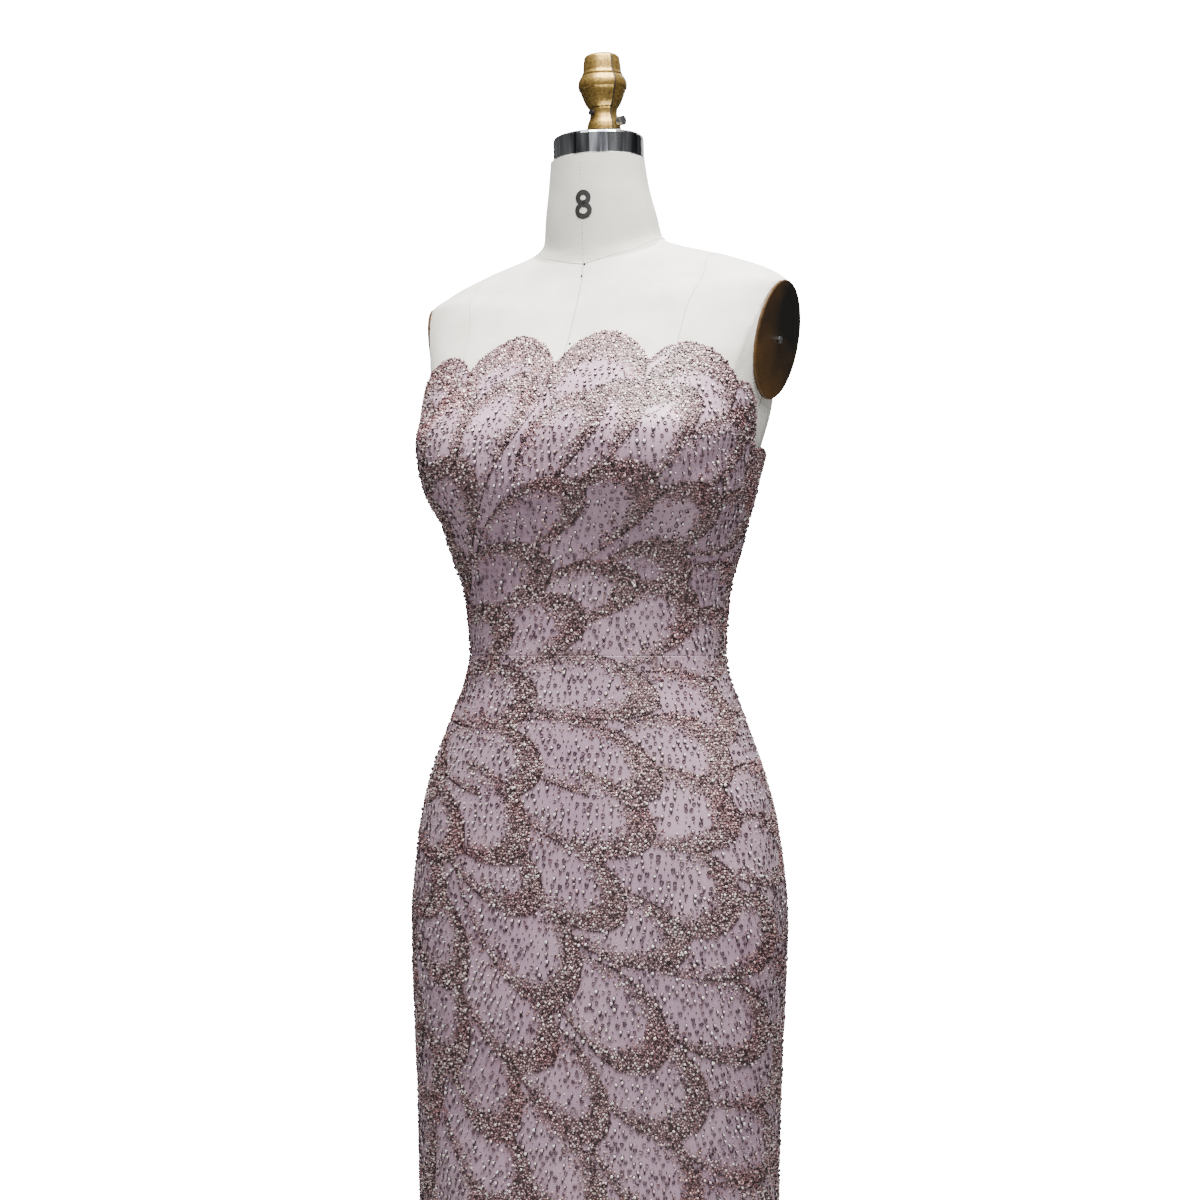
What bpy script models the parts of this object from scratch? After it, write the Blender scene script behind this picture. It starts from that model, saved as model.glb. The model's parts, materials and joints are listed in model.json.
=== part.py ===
"""Strapless mermaid evening gown, worn by a limbless dress form on a round-based stand.

The gown is cut as a bodice and a skirt, joined at the waist, each with one front and two backs that meet
at a zip in the centre back. Every panel is an open sheet wrapped on the gown's outer shape and given its
wall by Solidify. The dress form is the same shape, set in from the cloth.

Metres, +Z up. The origin is on the floor, under the middle of the stand. The form faces -Y, and its left
side is at +X.
"""

import math

import bmesh
import bpy
import numpy as np
from mathutils import Matrix, Vector

# ---------------------------------------------------------------- driving dimensions
WAIST_Z = 1.100
HEM_Z = 0.015
CLOTH_WALL = 0.002
SEAM_GAP = 0.0005
FORM_GAP = 0.0035
TOUCH_GAP = 0.0003

# Places around the body are shares of a half round: 0 at the centre front, 1 or -1 at the centre back.
SIDE_SEAM = 0.5
HALF_ROUND = 0.40
BODICE_ROWS = 10
SKIRT_ROWS = 16
COLUMNS_PER_SCALLOP = 6
SKIRT_FRONT_COLUMNS = 36
SKIRT_BACK_COLUMNS = 18

# The outer shape of the beaded cloth, and above it of the form's shoulders and neck, as rings from the
# hem to the neck. A ring may rise or dip between its front, side and back.
RING_COLUMNS = (
    "z_front", "z_side", "z_back", "half_width", "front", "back", "mid", "front_power", "back_power",
)
RINGS = (
    (0.015, 0.015, 0.015, 0.366, -0.366, 0.366, 0.000, 2.0, 2.0),  # hem
    (0.100, 0.100, 0.100, 0.296, -0.294, 0.294, 0.000, 2.0, 2.0),
    (0.200, 0.200, 0.200, 0.232, -0.226, 0.226, 0.000, 2.0, 2.0),
    (0.300, 0.300, 0.300, 0.189, -0.176, 0.177, -0.002, 2.0, 2.0),
    (0.400, 0.400, 0.400, 0.165, -0.148, 0.149, -0.004, 2.0, 2.0),
    (0.490, 0.490, 0.490, 0.160, -0.138, 0.138, -0.010, 2.1, 2.1),  # knee
    (0.600, 0.600, 0.600, 0.162, -0.135, 0.136, -0.016, 2.1, 2.1),
    (0.700, 0.700, 0.700, 0.165, -0.128, 0.140, -0.020, 2.1, 2.1),
    (0.800, 0.800, 0.800, 0.169, -0.122, 0.141, -0.023, 2.2, 2.2),
    (0.870, 0.870, 0.870, 0.171, -0.118, 0.137, -0.024, 2.2, 2.3),  # hip
    (0.950, 0.950, 0.950, 0.163, -0.113, 0.125, -0.024, 2.2, 2.3),
    (1.000, 1.000, 1.000, 0.151, -0.108, 0.113, -0.022, 2.2, 2.2),
    (1.050, 1.050, 1.050, 0.132, -0.102, 0.100, -0.018, 2.2, 2.2),
    (1.100, 1.100, 1.100, 0.117, -0.098, 0.088, -0.015, 2.2, 2.2),  # waist
    (1.150, 1.150, 1.150, 0.120, -0.101, 0.088, -0.014, 2.3, 2.2),
    (1.200, 1.200, 1.200, 0.133, -0.113, 0.094, -0.017, 2.5, 2.3),
    (1.250, 1.250, 1.250, 0.147, -0.130, 0.103, -0.022, 2.9, 2.3),
    (1.285, 1.285, 1.285, 0.154, -0.133, 0.108, -0.016, 2.9, 2.4),  # bust
    (1.315, 1.315, 1.318, 0.160, -0.123, 0.110, -0.006, 2.7, 2.5),  # armpit
    (1.340, 1.343, 1.348, 0.165, -0.111, 0.111, -0.001, 2.5, 2.4),
    (1.362, 1.375, 1.380, 0.178, -0.096, 0.110, 0.003, 2.2, 2.3),
    (1.384, 1.404, 1.408, 0.184, -0.082, 0.106, 0.007, 2.1, 2.2),
    (1.405, 1.429, 1.432, 0.180, -0.071, 0.098, 0.011, 2.1, 2.1),  # shoulder point
    (1.422, 1.4445, 1.449, 0.164, -0.062, 0.089, 0.020, 2.0, 2.0),
    (1.438, 1.460, 1.466, 0.130, -0.055, 0.080, 0.024, 2.0, 2.0),
    (1.450, 1.470, 1.479, 0.098, -0.052, 0.072, 0.022, 2.0, 2.0),
    (1.457, 1.476, 1.488, 0.074, -0.051, 0.064, 0.014, 2.0, 2.0),
    (1.462, 1.481, 1.494, 0.061, -0.051, 0.058, 0.003, 2.0, 2.0),  # neck seam
    (1.488, 1.501, 1.508, 0.057, -0.053, 0.051, -0.003, 2.0, 2.0),
    (1.518, 1.524, 1.530, 0.052, -0.055, 0.043, -0.008, 2.0, 2.0),
    (1.544, 1.549, 1.554, 0.0485, -0.057, 0.038, -0.0105, 2.0, 2.0),  # neck top
)
RING_DIP_POWER = 1.5
RING_STEPS_BETWEEN = 12
ANGLE_STEPS = 180

# The fullness of the bust, pushed out of the rings at each side of the centre front.
BUST_Z = 1.270
BUST_ANGLE = math.radians(42)
BUST_RISE = 0.010
BUST_HEIGHT_SPREAD = 0.045
BUST_ANGLE_SPREAD = math.radians(20)

# The flare's flutes deepen from the knee to the hem. Each seam runs down a valley between two flutes.
FLUTES = 12
FLUTE_DEPTH = 0.024
FLUTE_START_Z = 0.47
FLUTE_DEEPENING = 1.6
FLUTE_UNEVENNESS = 0.3

# The neckline: six scallops on each side, from the centre front to the centre back. SCALLOP_ENDS is where
# the valleys between them are; the fourth is at the side seam.
SCALLOP_ENDS = (0.0, 0.188, 0.372, 0.5, 0.667, 0.833, 1.0)
SCALLOP_POWER = 0.72
SCALLOP_ROW_POWER = 5.0
NECKLINE_COLUMNS = ("around", "valley_z", "rise")
NECKLINE = (
    (0.00, 1.346, 0.037),
    (0.19, 1.347, 0.027),
    (0.28, 1.342, 0.021),
    (0.37, 1.330, 0.017),
    (0.44, 1.303, 0.013),
    (0.50, 1.277, 0.012),
    (0.67, 1.262, 0.013),
    (0.83, 1.256, 0.014),
    (1.00, 1.254, 0.014),
)

# The dress form
FORM_BOTTOM_Z = 0.740
FORM_COLUMNS = 40
FORM_LOW_ROWS = 18
FORM_HIGH_ROWS = 17
FORM_HIGH_Z = 1.30
PLATE_CENTRE = Vector((0.1636, 0.005, 1.3775))
PLATE_TO_FRONT = math.radians(10)
PLATE_DOWN = math.radians(10)
PLATE_LEAN = math.radians(5)
PLATE_HALF_WIDTH = 0.0385
PLATE_HALF_HEIGHT = 0.053
PLATE_THICKNESS = 0.003
PLATE_BEVEL = 0.0008
PLATE_SIDES = 32
CUTTER_SIDE = 0.30
SCREW_RADIUS = 0.0032
SCREW_HEIGHT = 0.0018
SCREW_SIDES = 12

NECK_TOP = Vector((0, -0.0105, 1.549))
NECK_TILT = math.radians(5)
CAP_SHIFT_Y = 0.004
CAP_HEIGHT = 0.022
# Turned pieces are profiles of (radius, height), from the top down.
CAP_PROFILE = (
    (0, CAP_HEIGHT), (0.0385, CAP_HEIGHT), (0.0405, 0.0208), (0.0415, 0.0190), (0.0415, 0.0015),
    (0.0407, 0), (0, 0),
)
FINIAL_SHIFT = Vector((0.003, 0.007, 0))
FINIAL_PROFILE = (
    (0, 0.0755), (0.0110, 0.0752), (0.0145, 0.0740), (0.0162, 0.0720), (0.0170, 0.0670),  # head
    (0.0176, 0.0590), (0.0184, 0.0575), (0.0204, 0.0540), (0.0222, 0.0502), (0.0226, 0.0465),  # ring
    (0.0218, 0.0430), (0.0200, 0.0400), (0.0182, 0.0350), (0.0162, 0.0305), (0.0136, 0.0265),  # cup
    (0.0126, 0.0240), (0.0124, 0.0205), (0.0134, 0.0160), (0.0150, 0.0125), (0.0156, 0.0085),  # stem
    (0.0156, 0), (0, 0),
)
FINIAL_STEPS = 24
FINIAL_FASTENERS = (
    # name, turn from the front towards +X, height on the finial, radius, length, stem radius
    ("finial_screw", math.radians(78), 0.0130, 0.0044, 0.0060, 0.0158),
    ("finial_pin", math.radians(-24), 0.0215, 0.0026, 0.0030, 0.0133),
)

# The stand
POLE_RADIUS = 0.016
BASE_HEIGHT = 0.048
BASE_PROFILE = (
    (0, BASE_HEIGHT), (0.026, BASE_HEIGHT), (0.030, 0.044), (0.034, 0.026), (0.050, 0.022),  # hub
    (0.114, 0.018), (0.184, 0.012), (0.190, 0.008), (0.190, 0.002), (0.188, 0), (0, 0),  # plate
)
TURNED_STEPS = 32
POLE_SIDES = 24

# The zip's slider and pull, at the top of the centre back
ZIP_BELOW_NECKLINE = 0.012
SLIDER_WIDTH = 0.0046
SLIDER_DEPTH = 0.0024
SLIDER_HEIGHT = 0.0080
PULL_PIVOT_OUT = 0.0012
BRIDGE_WIRE = 0.0006
BRIDGE_RADIUS = 0.00155
PULL_BAR = 0.0010
PULL_LENGTH = 0.0215
PULL_TOP_WIDTH = 0.0042
PULL_END_WIDTH = 0.0060
PULL_SLOT_HALF_WIDTH = 0.0013
PULL_SLOT_END = 0.0050

MATERIALS = {
    # name: (colour as linear RGB, roughness, metallic)
    "beaded_cloth": ((0.440, 0.335, 0.385), 0.55, 0.0),
    "form_cover": ((0.720, 0.715, 0.690), 0.85, 0.0),
    "plate_bronze": ((0.105, 0.070, 0.030), 0.40, 0.6),
    "cap_steel": ((0.350, 0.350, 0.360), 0.25, 1.0),
    "finial_brass": ((0.420, 0.300, 0.120), 0.38, 0.9),
    "screw_steel": ((0.500, 0.500, 0.500), 0.30, 1.0),
    "stand_iron": ((0.050, 0.050, 0.052), 0.45, 0.4),
    "zip_metal": ((0.420, 0.330, 0.370), 0.35, 0.5),
}


# ---------------------------------------------------------------- the scene
def clear_scene():
    """Removes every object, so that the file holds only this model."""
    for obj in list(bpy.data.objects):
        bpy.data.objects.remove(obj, do_unlink=True)


def new_collection(name):
    """Adds a collection to the scene."""
    collection = bpy.data.collections.new(name)
    bpy.context.scene.collection.children.link(collection)
    return collection


def make_material(name):
    """Makes one Principled material from its row in MATERIALS."""
    colour, roughness, metallic = MATERIALS[name]
    material = bpy.data.materials.new(name)
    material.use_nodes = True
    shader = material.node_tree.nodes["Principled BSDF"]
    shader.inputs["Base Color"].default_value = (*colour, 1.0)
    shader.inputs["Roughness"].default_value = roughness
    shader.inputs["Metallic"].default_value = metallic
    material.diffuse_color = (*colour, 1.0)
    return material


def add_object(name, data, collection, material=None):
    """Links a mesh or a curve to the scene as one named object."""
    obj = bpy.data.objects.new(name, data)
    collection.objects.link(obj)
    if material is not None:
        data.materials.append(material)
    return obj


def add_mesh_object(name, mesh_builder, collection, material=None):
    """Turns a bmesh into an object, with its normals pointing out of what it bounds."""
    mesh = bpy.data.meshes.new(name)
    mesh_builder.to_mesh(mesh)
    mesh_builder.free()
    return add_object(name, mesh, collection, material)


def shade_round(obj, sharp_angle=math.radians(40)):
    """Shades a piece smooth, apart from its sharp edges."""
    obj.data.shade_smooth()
    obj.data.set_sharp_from_angle(angle=sharp_angle)


# ---------------------------------------------------------------- the outer shape
def smooth_curve(at, xs, ys):
    """A monotone cubic through the points (xs, ys), read at each place in at."""
    at, xs, ys = (np.asarray(values, float) for values in (at, xs, ys))
    steps, slopes = np.diff(xs), np.diff(ys) / np.diff(xs)
    tangents = np.zeros_like(ys)
    same_way = slopes[:-1] * slopes[1:] > 0
    left, right = 2 * steps[1:] + steps[:-1], steps[1:] + 2 * steps[:-1]
    safe = [np.where(same_way, part, 1.0) for part in (slopes[:-1], slopes[1:])]
    tangents[1:-1] = np.where(same_way, (left + right) / (left / safe[0] + right / safe[1]), 0.0)
    tangents[0], tangents[-1] = slopes[0], slopes[-1]
    i = np.clip(np.searchsorted(xs, at, side="right") - 1, 0, len(xs) - 2)
    t = np.clip((at - xs[i]) / steps[i], 0.0, 1.0)
    return (
        ys[i] * (1 + 2 * t) * (1 - t) ** 2
        + ys[i + 1] * t**2 * (3 - 2 * t)
        + steps[i] * t * (1 - t) * (tangents[i] * (1 - t) - tangents[i + 1] * t)
    )


def ring_values(place):
    """Each column of RINGS at a place that counts rings from the hem, whole or not."""
    table = np.array(RINGS)
    index = np.arange(len(RINGS))
    return {name: smooth_curve(place, index, table[:, c]) for c, name in enumerate(RING_COLUMNS)}


def ring_points(place, angles):
    """Points of one ring: angle 0 is the front, half a turn is the back, and positive angles go to +X."""
    ring = ring_values(place)
    sine, cosine = np.sin(angles), np.cos(angles)
    in_front = cosine >= 0
    depth = np.where(in_front, ring["mid"] - ring["front"], ring["back"] - ring["mid"])
    power = np.where(in_front, ring["front_power"], ring["back_power"])
    across, along = np.abs(sine) / ring["half_width"], np.abs(cosine) / depth
    radius = (across**power + along**power) ** (-1 / power)
    z = (
        ring["z_side"]
        + (ring["z_front"] - ring["z_side"]) * np.clip(cosine, 0, 1) ** RING_DIP_POWER
        + (ring["z_back"] - ring["z_side"]) * np.clip(-cosine, 0, 1) ** RING_DIP_POWER
    )
    bust = np.exp(-(((z - BUST_Z) / BUST_HEIGHT_SPREAD) ** 2))
    bust = bust * np.exp(-(((np.abs(angles) - BUST_ANGLE) / BUST_ANGLE_SPREAD) ** 2))
    flute = np.clip((FLUTE_START_Z - z) / (FLUTE_START_Z - HEM_Z), 0, 1) ** FLUTE_DEEPENING
    wave = -np.cos(FLUTES * angles + FLUTE_UNEVENNESS * np.sin(4 * angles))
    radius = radius + BUST_RISE * bust + FLUTE_DEPTH * flute * wave
    return np.stack([radius * sine, ring["mid"] - radius * cosine, z], axis=-1)


def lattice(arounds):
    """Columns of the outer shape, one for each place around: 0 at the centre front, 1 or -1 at the back.

    A place around is a share of the ring's own length, so columns run like the threads of the cloth.
    """
    places = np.linspace(0, len(RINGS) - 1, (len(RINGS) - 1) * RING_STEPS_BETWEEN + 1)
    angles = np.linspace(0, math.pi, ANGLE_STEPS + 1)
    columns = np.zeros((len(places), len(arounds), 3))
    for row, place in enumerate(places):
        half = ring_points(place, angles)
        lengths = np.linalg.norm(np.diff(half, axis=0), axis=1)
        along = np.concatenate([[0.0], np.cumsum(lengths)])
        wanted = np.abs(arounds) * along[-1]
        for axis in range(3):
            columns[row, :, axis] = np.interp(wanted, along, half[:, axis])
    columns[:, :, 0] *= np.where(np.asarray(arounds) < 0, -1, 1)
    return columns


def at_heights(column, heights):
    """Points of one column at the heights asked for."""
    return np.stack([np.interp(heights, column[:, 2], column[:, axis]) for axis in range(3)], axis=-1)


def neckline_z(around):
    """The height of the neckline's valleys at a place around, and the scallop's rise above it there."""
    share = np.abs(np.asarray(around, float))
    table = dict(zip(NECKLINE_COLUMNS, np.transpose(NECKLINE)))
    valley = smooth_curve(share, table["around"], table["valley_z"])
    rise = smooth_curve(share, table["around"], table["rise"])
    scallop = np.interp(share, SCALLOP_ENDS, range(len(SCALLOP_ENDS)))
    return valley, rise * np.abs(np.sin(math.pi * scallop)) ** SCALLOP_POWER


# ---------------------------------------------------------------- sheets and solids
def wrapped_grid(points):
    """A sheet of quads through a grid of points, made from Blender's grid and wrapped onto them.

    points is (rows, columns, 3), with the rows going up and the columns going towards +X at the front,
    which turns the faces outwards.
    """
    rows, columns = points.shape[:2]
    sheet = bmesh.new()
    bmesh.ops.create_grid(sheet, x_segments=columns - 1, y_segments=rows - 1, size=0.5)
    for vertex in sheet.verts:
        column = round((vertex.co.x + 0.5) * (columns - 1))
        row = round((vertex.co.y + 0.5) * (rows - 1))
        vertex.co = points[row, column]
    sheet.normal_update()
    return sheet


def cloth_panel(name, points, collection, material):
    """One cut piece of cloth: a wrapped sheet, with its wall on the inner side."""
    panel = add_mesh_object(name, wrapped_grid(points), collection, material)
    wall = panel.modifiers.new("wall", "SOLIDIFY")
    wall.thickness = CLOTH_WALL
    wall.offset = -1.0
    wall.use_even_offset = True
    shade_round(panel)
    return panel


def scallop_arounds(start, end):
    """Places around a bodice panel, with columns on every valley and between.

    Scallops count from the centre front.
    """
    scallops = np.linspace(start, end, (end - start) * COLUMNS_PER_SCALLOP + 1)
    return np.sign(scallops) * np.interp(np.abs(scallops), range(len(SCALLOP_ENDS)), SCALLOP_ENDS)


def seam_allowed(arounds):
    """The same places around, with the first and last half a seam gap in from the seams."""
    margin = 0.5 * SEAM_GAP / HALF_ROUND
    inner = np.array(arounds, float)
    inner[0] += margin
    inner[-1] -= margin
    return inner


def bodice_points(arounds):
    """The bodice's grid from the waist seam up, its upper rows drawn into the scallops."""
    columns = lattice(arounds)
    rows = np.linspace(0, 1, BODICE_ROWS + 1)
    bottom = WAIST_Z + 0.5 * SEAM_GAP
    points = np.zeros((len(rows), len(arounds), 3))
    for c, around in enumerate(arounds):
        valley, rise = neckline_z(around)
        heights = bottom + (valley - bottom) * rows + rise * rows**SCALLOP_ROW_POWER
        points[:, c] = at_heights(columns[:, c], heights)
    return points


def skirt_points(arounds):
    """The skirt's grid from the hem up to the waist seam."""
    columns = lattice(arounds)
    heights = np.linspace(HEM_Z, WAIST_Z - 0.5 * SEAM_GAP, SKIRT_ROWS + 1)
    return np.stack([at_heights(columns[:, c], heights) for c in range(len(arounds))], axis=1)


def build_gown(collection, cloth):
    """The six cut pieces: a front and two backs for the bodice, and the same for the skirt."""
    side, back = SCALLOP_ENDS.index(SIDE_SEAM), len(SCALLOP_ENDS) - 1
    bodice = {
        "bodice_front": scallop_arounds(-side, side),
        "bodice_back_left": scallop_arounds(side, back),
        "bodice_back_right": scallop_arounds(-back, -side),
    }
    skirt = {
        "skirt_front": np.linspace(-SIDE_SEAM, SIDE_SEAM, SKIRT_FRONT_COLUMNS + 1),
        "skirt_back_left": np.linspace(SIDE_SEAM, 1, SKIRT_BACK_COLUMNS + 1),
        "skirt_back_right": np.linspace(-1, -SIDE_SEAM, SKIRT_BACK_COLUMNS + 1),
    }
    for panels, points_of in ((bodice, bodice_points), (skirt, skirt_points)):
        for name, arounds in panels.items():
            cloth_panel(name, points_of(seam_allowed(arounds)), collection, cloth)


# ---------------------------------------------------------------- the dress form
def plate_matrix(side):
    """Where an arm plate sits: local +X points out of the shoulder, and local Z runs up the plate."""
    centre = Vector((side * PLATE_CENTRE.x, PLATE_CENTRE.y, PLATE_CENTRE.z))
    facing = Matrix.Rotation(-side * PLATE_TO_FRONT, 4, "Z")
    if side < 0:
        facing = facing @ Matrix.Rotation(math.pi, 4, "Z")
    drop = Matrix.Rotation(PLATE_DOWN, 4, "Y")
    lean = Matrix.Rotation(-side * PLATE_LEAN, 4, "X")
    return Matrix.Translation(centre) @ facing @ drop @ lean


def build_torso(collection, cutters, cover):
    """The padded torso and neck: the outer shape set in from the cloth, cut flat at both shoulders."""
    set_in = CLOTH_WALL + FORM_GAP
    arounds = np.linspace(-1, 1, FORM_COLUMNS + 1)
    columns = lattice(arounds)
    low = np.linspace(FORM_BOTTOM_Z, FORM_HIGH_Z, FORM_LOW_ROWS + 1)
    points = np.zeros((FORM_LOW_ROWS + FORM_HIGH_ROWS + 1, len(arounds), 3))
    for c in range(len(arounds)):
        column = columns[:, c]
        points[: len(low), c] = at_heights(column, low)
        upper = column[column[:, 2] > FORM_HIGH_Z]
        along = np.linspace(0, len(upper) - 1, FORM_HIGH_ROWS + 1)[1:]
        for axis in range(3):
            points[len(low) :, c, axis] = np.interp(along, np.arange(len(upper)), upper[:, axis])
    body = wrapped_grid(points)
    bmesh.ops.remove_doubles(body, verts=body.verts, dist=1e-5)
    body.normal_update()
    bottom = [v for v in body.verts if v.co.z < FORM_BOTTOM_Z + 1e-4]
    top = [v for v in body.verts if v.index >= len(body.verts) - FORM_COLUMNS]
    for vertex in body.verts:
        vertex.co -= set_in * vertex.normal
    for vertex in bottom:
        vertex.co.z = FORM_BOTTOM_Z
    for vertex in top:
        vertex.co.z = NECK_TOP.z + (vertex.co.y - NECK_TOP.y) * math.tan(NECK_TILT)
    bmesh.ops.holes_fill(body, edges=body.edges, sides=0)
    bmesh.ops.recalc_face_normals(body, faces=body.faces)
    torso = add_mesh_object("form_torso", body, collection, cover)
    for side, name in ((1, "arm_cut_left"), (-1, "arm_cut_right")):
        box = bmesh.new()
        bmesh.ops.create_cube(box, size=CUTTER_SIDE)
        cutter = add_mesh_object(name, box, cutters)
        cutter.matrix_world = plate_matrix(side) @ Matrix.Translation((CUTTER_SIDE / 2, 0, 0))
        cutter.hide_render = True
        cutter.display_type = "WIRE"
        cut = torso.modifiers.new(name, "BOOLEAN")
        cut.operation = "DIFFERENCE"
        cut.object = cutter
    shade_round(torso)
    return torso


def disc(name, radius, height, segments, collection, material, bevel=0.0, scale=(1, 1)):
    """A flat disc from Z 0 to its height, round or oval, with a softened rim."""
    body = bmesh.new()
    bmesh.ops.create_cone(
        body, cap_ends=True, segments=segments, radius1=radius, radius2=radius, depth=height
    )
    bmesh.ops.translate(body, verts=body.verts, vec=(0, 0, height / 2))
    bmesh.ops.scale(body, verts=body.verts, vec=(scale[0], scale[1], 1))
    made = add_mesh_object(name, body, collection, material)
    if bevel:
        soft = made.modifiers.new("rim", "BEVEL")
        soft.width = bevel
        soft.segments = 1
        soft.limit_method = "ANGLE"
    shade_round(made)
    return made


def build_arm_plates(collection, bronze, steel):
    """The oval plate and its screw on each shoulder."""
    flat = Matrix.Rotation(math.pi / 2, 4, "Y")
    for side, word in ((1, "left"), (-1, "right")):
        place = plate_matrix(side)
        plate = disc(
            f"arm_plate_{word}", PLATE_HALF_HEIGHT, PLATE_THICKNESS, PLATE_SIDES, collection, bronze,
            bevel=PLATE_BEVEL, scale=(1, PLATE_HALF_WIDTH / PLATE_HALF_HEIGHT),
        )
        plate.matrix_world = place @ Matrix.Translation((TOUCH_GAP, 0, 0)) @ flat
        screw = disc(f"arm_screw_{word}", SCREW_RADIUS, SCREW_HEIGHT, SCREW_SIDES, collection, steel)
        out = 2 * TOUCH_GAP + PLATE_THICKNESS
        screw.matrix_world = place @ Matrix.Translation((out, 0, 0)) @ flat


def turned(name, profile, collection, material, steps=TURNED_STEPS):
    """A turned piece: a profile spun about Z."""
    outline = bmesh.new()
    made = [outline.verts.new((radius, 0, z)) for radius, z in profile]
    for first, second in zip(made, made[1:]):
        outline.edges.new((first, second))
    piece = add_mesh_object(name, outline, collection, material)
    screw = piece.modifiers.new("turn", "SCREW")
    screw.steps = steps
    screw.render_steps = steps
    screw.use_merge_vertices = True
    screw.merge_threshold = 0.00005
    screw.use_smooth_shade = True
    return piece


def build_neck_top(collection, materials):
    """The steel cap on the neck, the cast finial above it, and the finial's screw and pin."""
    tilt = Matrix.Rotation(NECK_TILT, 4, "X")
    on_neck = Matrix.Translation(NECK_TOP) @ tilt @ Matrix.Translation((0, CAP_SHIFT_Y, TOUCH_GAP))
    cap = turned("neck_cap", CAP_PROFILE, collection, materials["cap_steel"])
    cap.matrix_world = on_neck
    on_cap = on_neck @ Matrix.Translation(FINIAL_SHIFT + Vector((0, 0, CAP_HEIGHT + TOUCH_GAP)))
    finial = turned(
        "neck_finial", FINIAL_PROFILE, collection, materials["finial_brass"], steps=FINIAL_STEPS
    )
    finial.matrix_world = on_cap
    for name, turn, height, radius, length, stem_radius in FINIAL_FASTENERS:
        fastener = disc(name, radius, length, SCREW_SIDES, collection, materials["screw_steel"])
        facing = Matrix.Rotation(turn, 4, "Z") @ Matrix.Rotation(math.pi / 2, 4, "X")
        out = Matrix.Translation((0, 0, stem_radius + TOUCH_GAP))
        fastener.matrix_world = on_cap @ Matrix.Translation((0, 0, height)) @ facing @ out


def build_stand(collection, iron):
    """The round weighted base, which rests on the floor, and the pole up to the torso."""
    turned("stand_base", BASE_PROFILE, collection, iron)
    pole_bottom = BASE_HEIGHT + TOUCH_GAP
    pole_height = FORM_BOTTOM_Z - TOUCH_GAP - pole_bottom
    pole = disc("stand_pole", POLE_RADIUS, pole_height, POLE_SIDES, collection, iron)
    pole.location.z = pole_bottom


# ---------------------------------------------------------------- the zip
def zip_seat():
    """Where the slider sits on the centre back: local +Y points out of the cloth, and Z runs up the zip."""
    valley, _ = neckline_z(1.0)
    height = float(valley) - ZIP_BELOW_NECKLINE
    reach = SLIDER_HEIGHT / 2
    low, middle, high = at_heights(lattice([1.0])[:, 0], np.array([height - reach, height, height + reach]))
    lean = -math.atan2(high[1] - low[1], high[2] - low[2])
    return Matrix.Translation((0, middle[1], height)) @ Matrix.Rotation(lean, 4, "X")


def box_between(low, high):
    """A bmesh box between two corners."""
    box = bmesh.new()
    bmesh.ops.create_cube(box, size=1.0)
    low, high = Vector(low), Vector(high)
    bmesh.ops.scale(box, verts=box.verts, vec=high - low)
    bmesh.ops.translate(box, verts=box.verts, vec=(low + high) / 2)
    return box


def build_bridge(cutters):
    """The slider's wire bridge about the pull's axis: straight, half round and straight again."""
    curve = bpy.data.curves.new("bridge", "CURVE")
    curve.dimensions = "3D"
    curve.bevel_depth = BRIDGE_WIRE
    curve.bevel_resolution = 1
    curve.use_fill_caps = True
    turns = [math.radians(angle) for angle in range(90, -91, -30)]
    round_part = [(0, BRIDGE_RADIUS * math.cos(t), BRIDGE_RADIUS * math.sin(t)) for t in turns]
    root = -(PULL_PIVOT_OUT + SLIDER_DEPTH / 2)
    route = [(0, root, BRIDGE_RADIUS), *round_part, (0, root, -BRIDGE_RADIUS)]
    spline = curve.splines.new("POLY")
    spline.points.add(len(route) - 1)
    for point, place in zip(spline.points, route):
        point.co = (*place, 1)
    wire = add_object("bridge_wire", curve, cutters)
    bpy.context.view_layer.update()
    graph = bpy.context.evaluated_depsgraph_get()
    mesh = bpy.data.meshes.new_from_object(wire.evaluated_get(graph))
    welded = bmesh.new()
    welded.from_mesh(mesh)
    bmesh.ops.remove_doubles(welded, verts=welded.verts, dist=1e-6)
    bmesh.ops.recalc_face_normals(welded, faces=welded.faces)
    bpy.data.objects.remove(wire)
    bridge = add_mesh_object("bridge_solid", welded, cutters)
    bridge.hide_render = True
    bridge.display_type = "WIRE"
    return bridge


def build_slider(collection, cutters, metal, seat, pivot):
    """The slider on the zip, joined to the bridge that holds the pull."""
    half_width, half_height = SLIDER_WIDTH / 2, SLIDER_HEIGHT / 2
    body = box_between(
        (-half_width, TOUCH_GAP, -half_height), (half_width, TOUCH_GAP + SLIDER_DEPTH, half_height)
    )
    slider = add_mesh_object("zip_slider", body, collection, metal)
    slider.matrix_world = seat
    bridge = build_bridge(cutters)
    bridge.matrix_world = seat @ pivot
    join = slider.modifiers.new("bridge", "BOOLEAN")
    join.operation = "UNION"
    join.object = bridge


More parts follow.
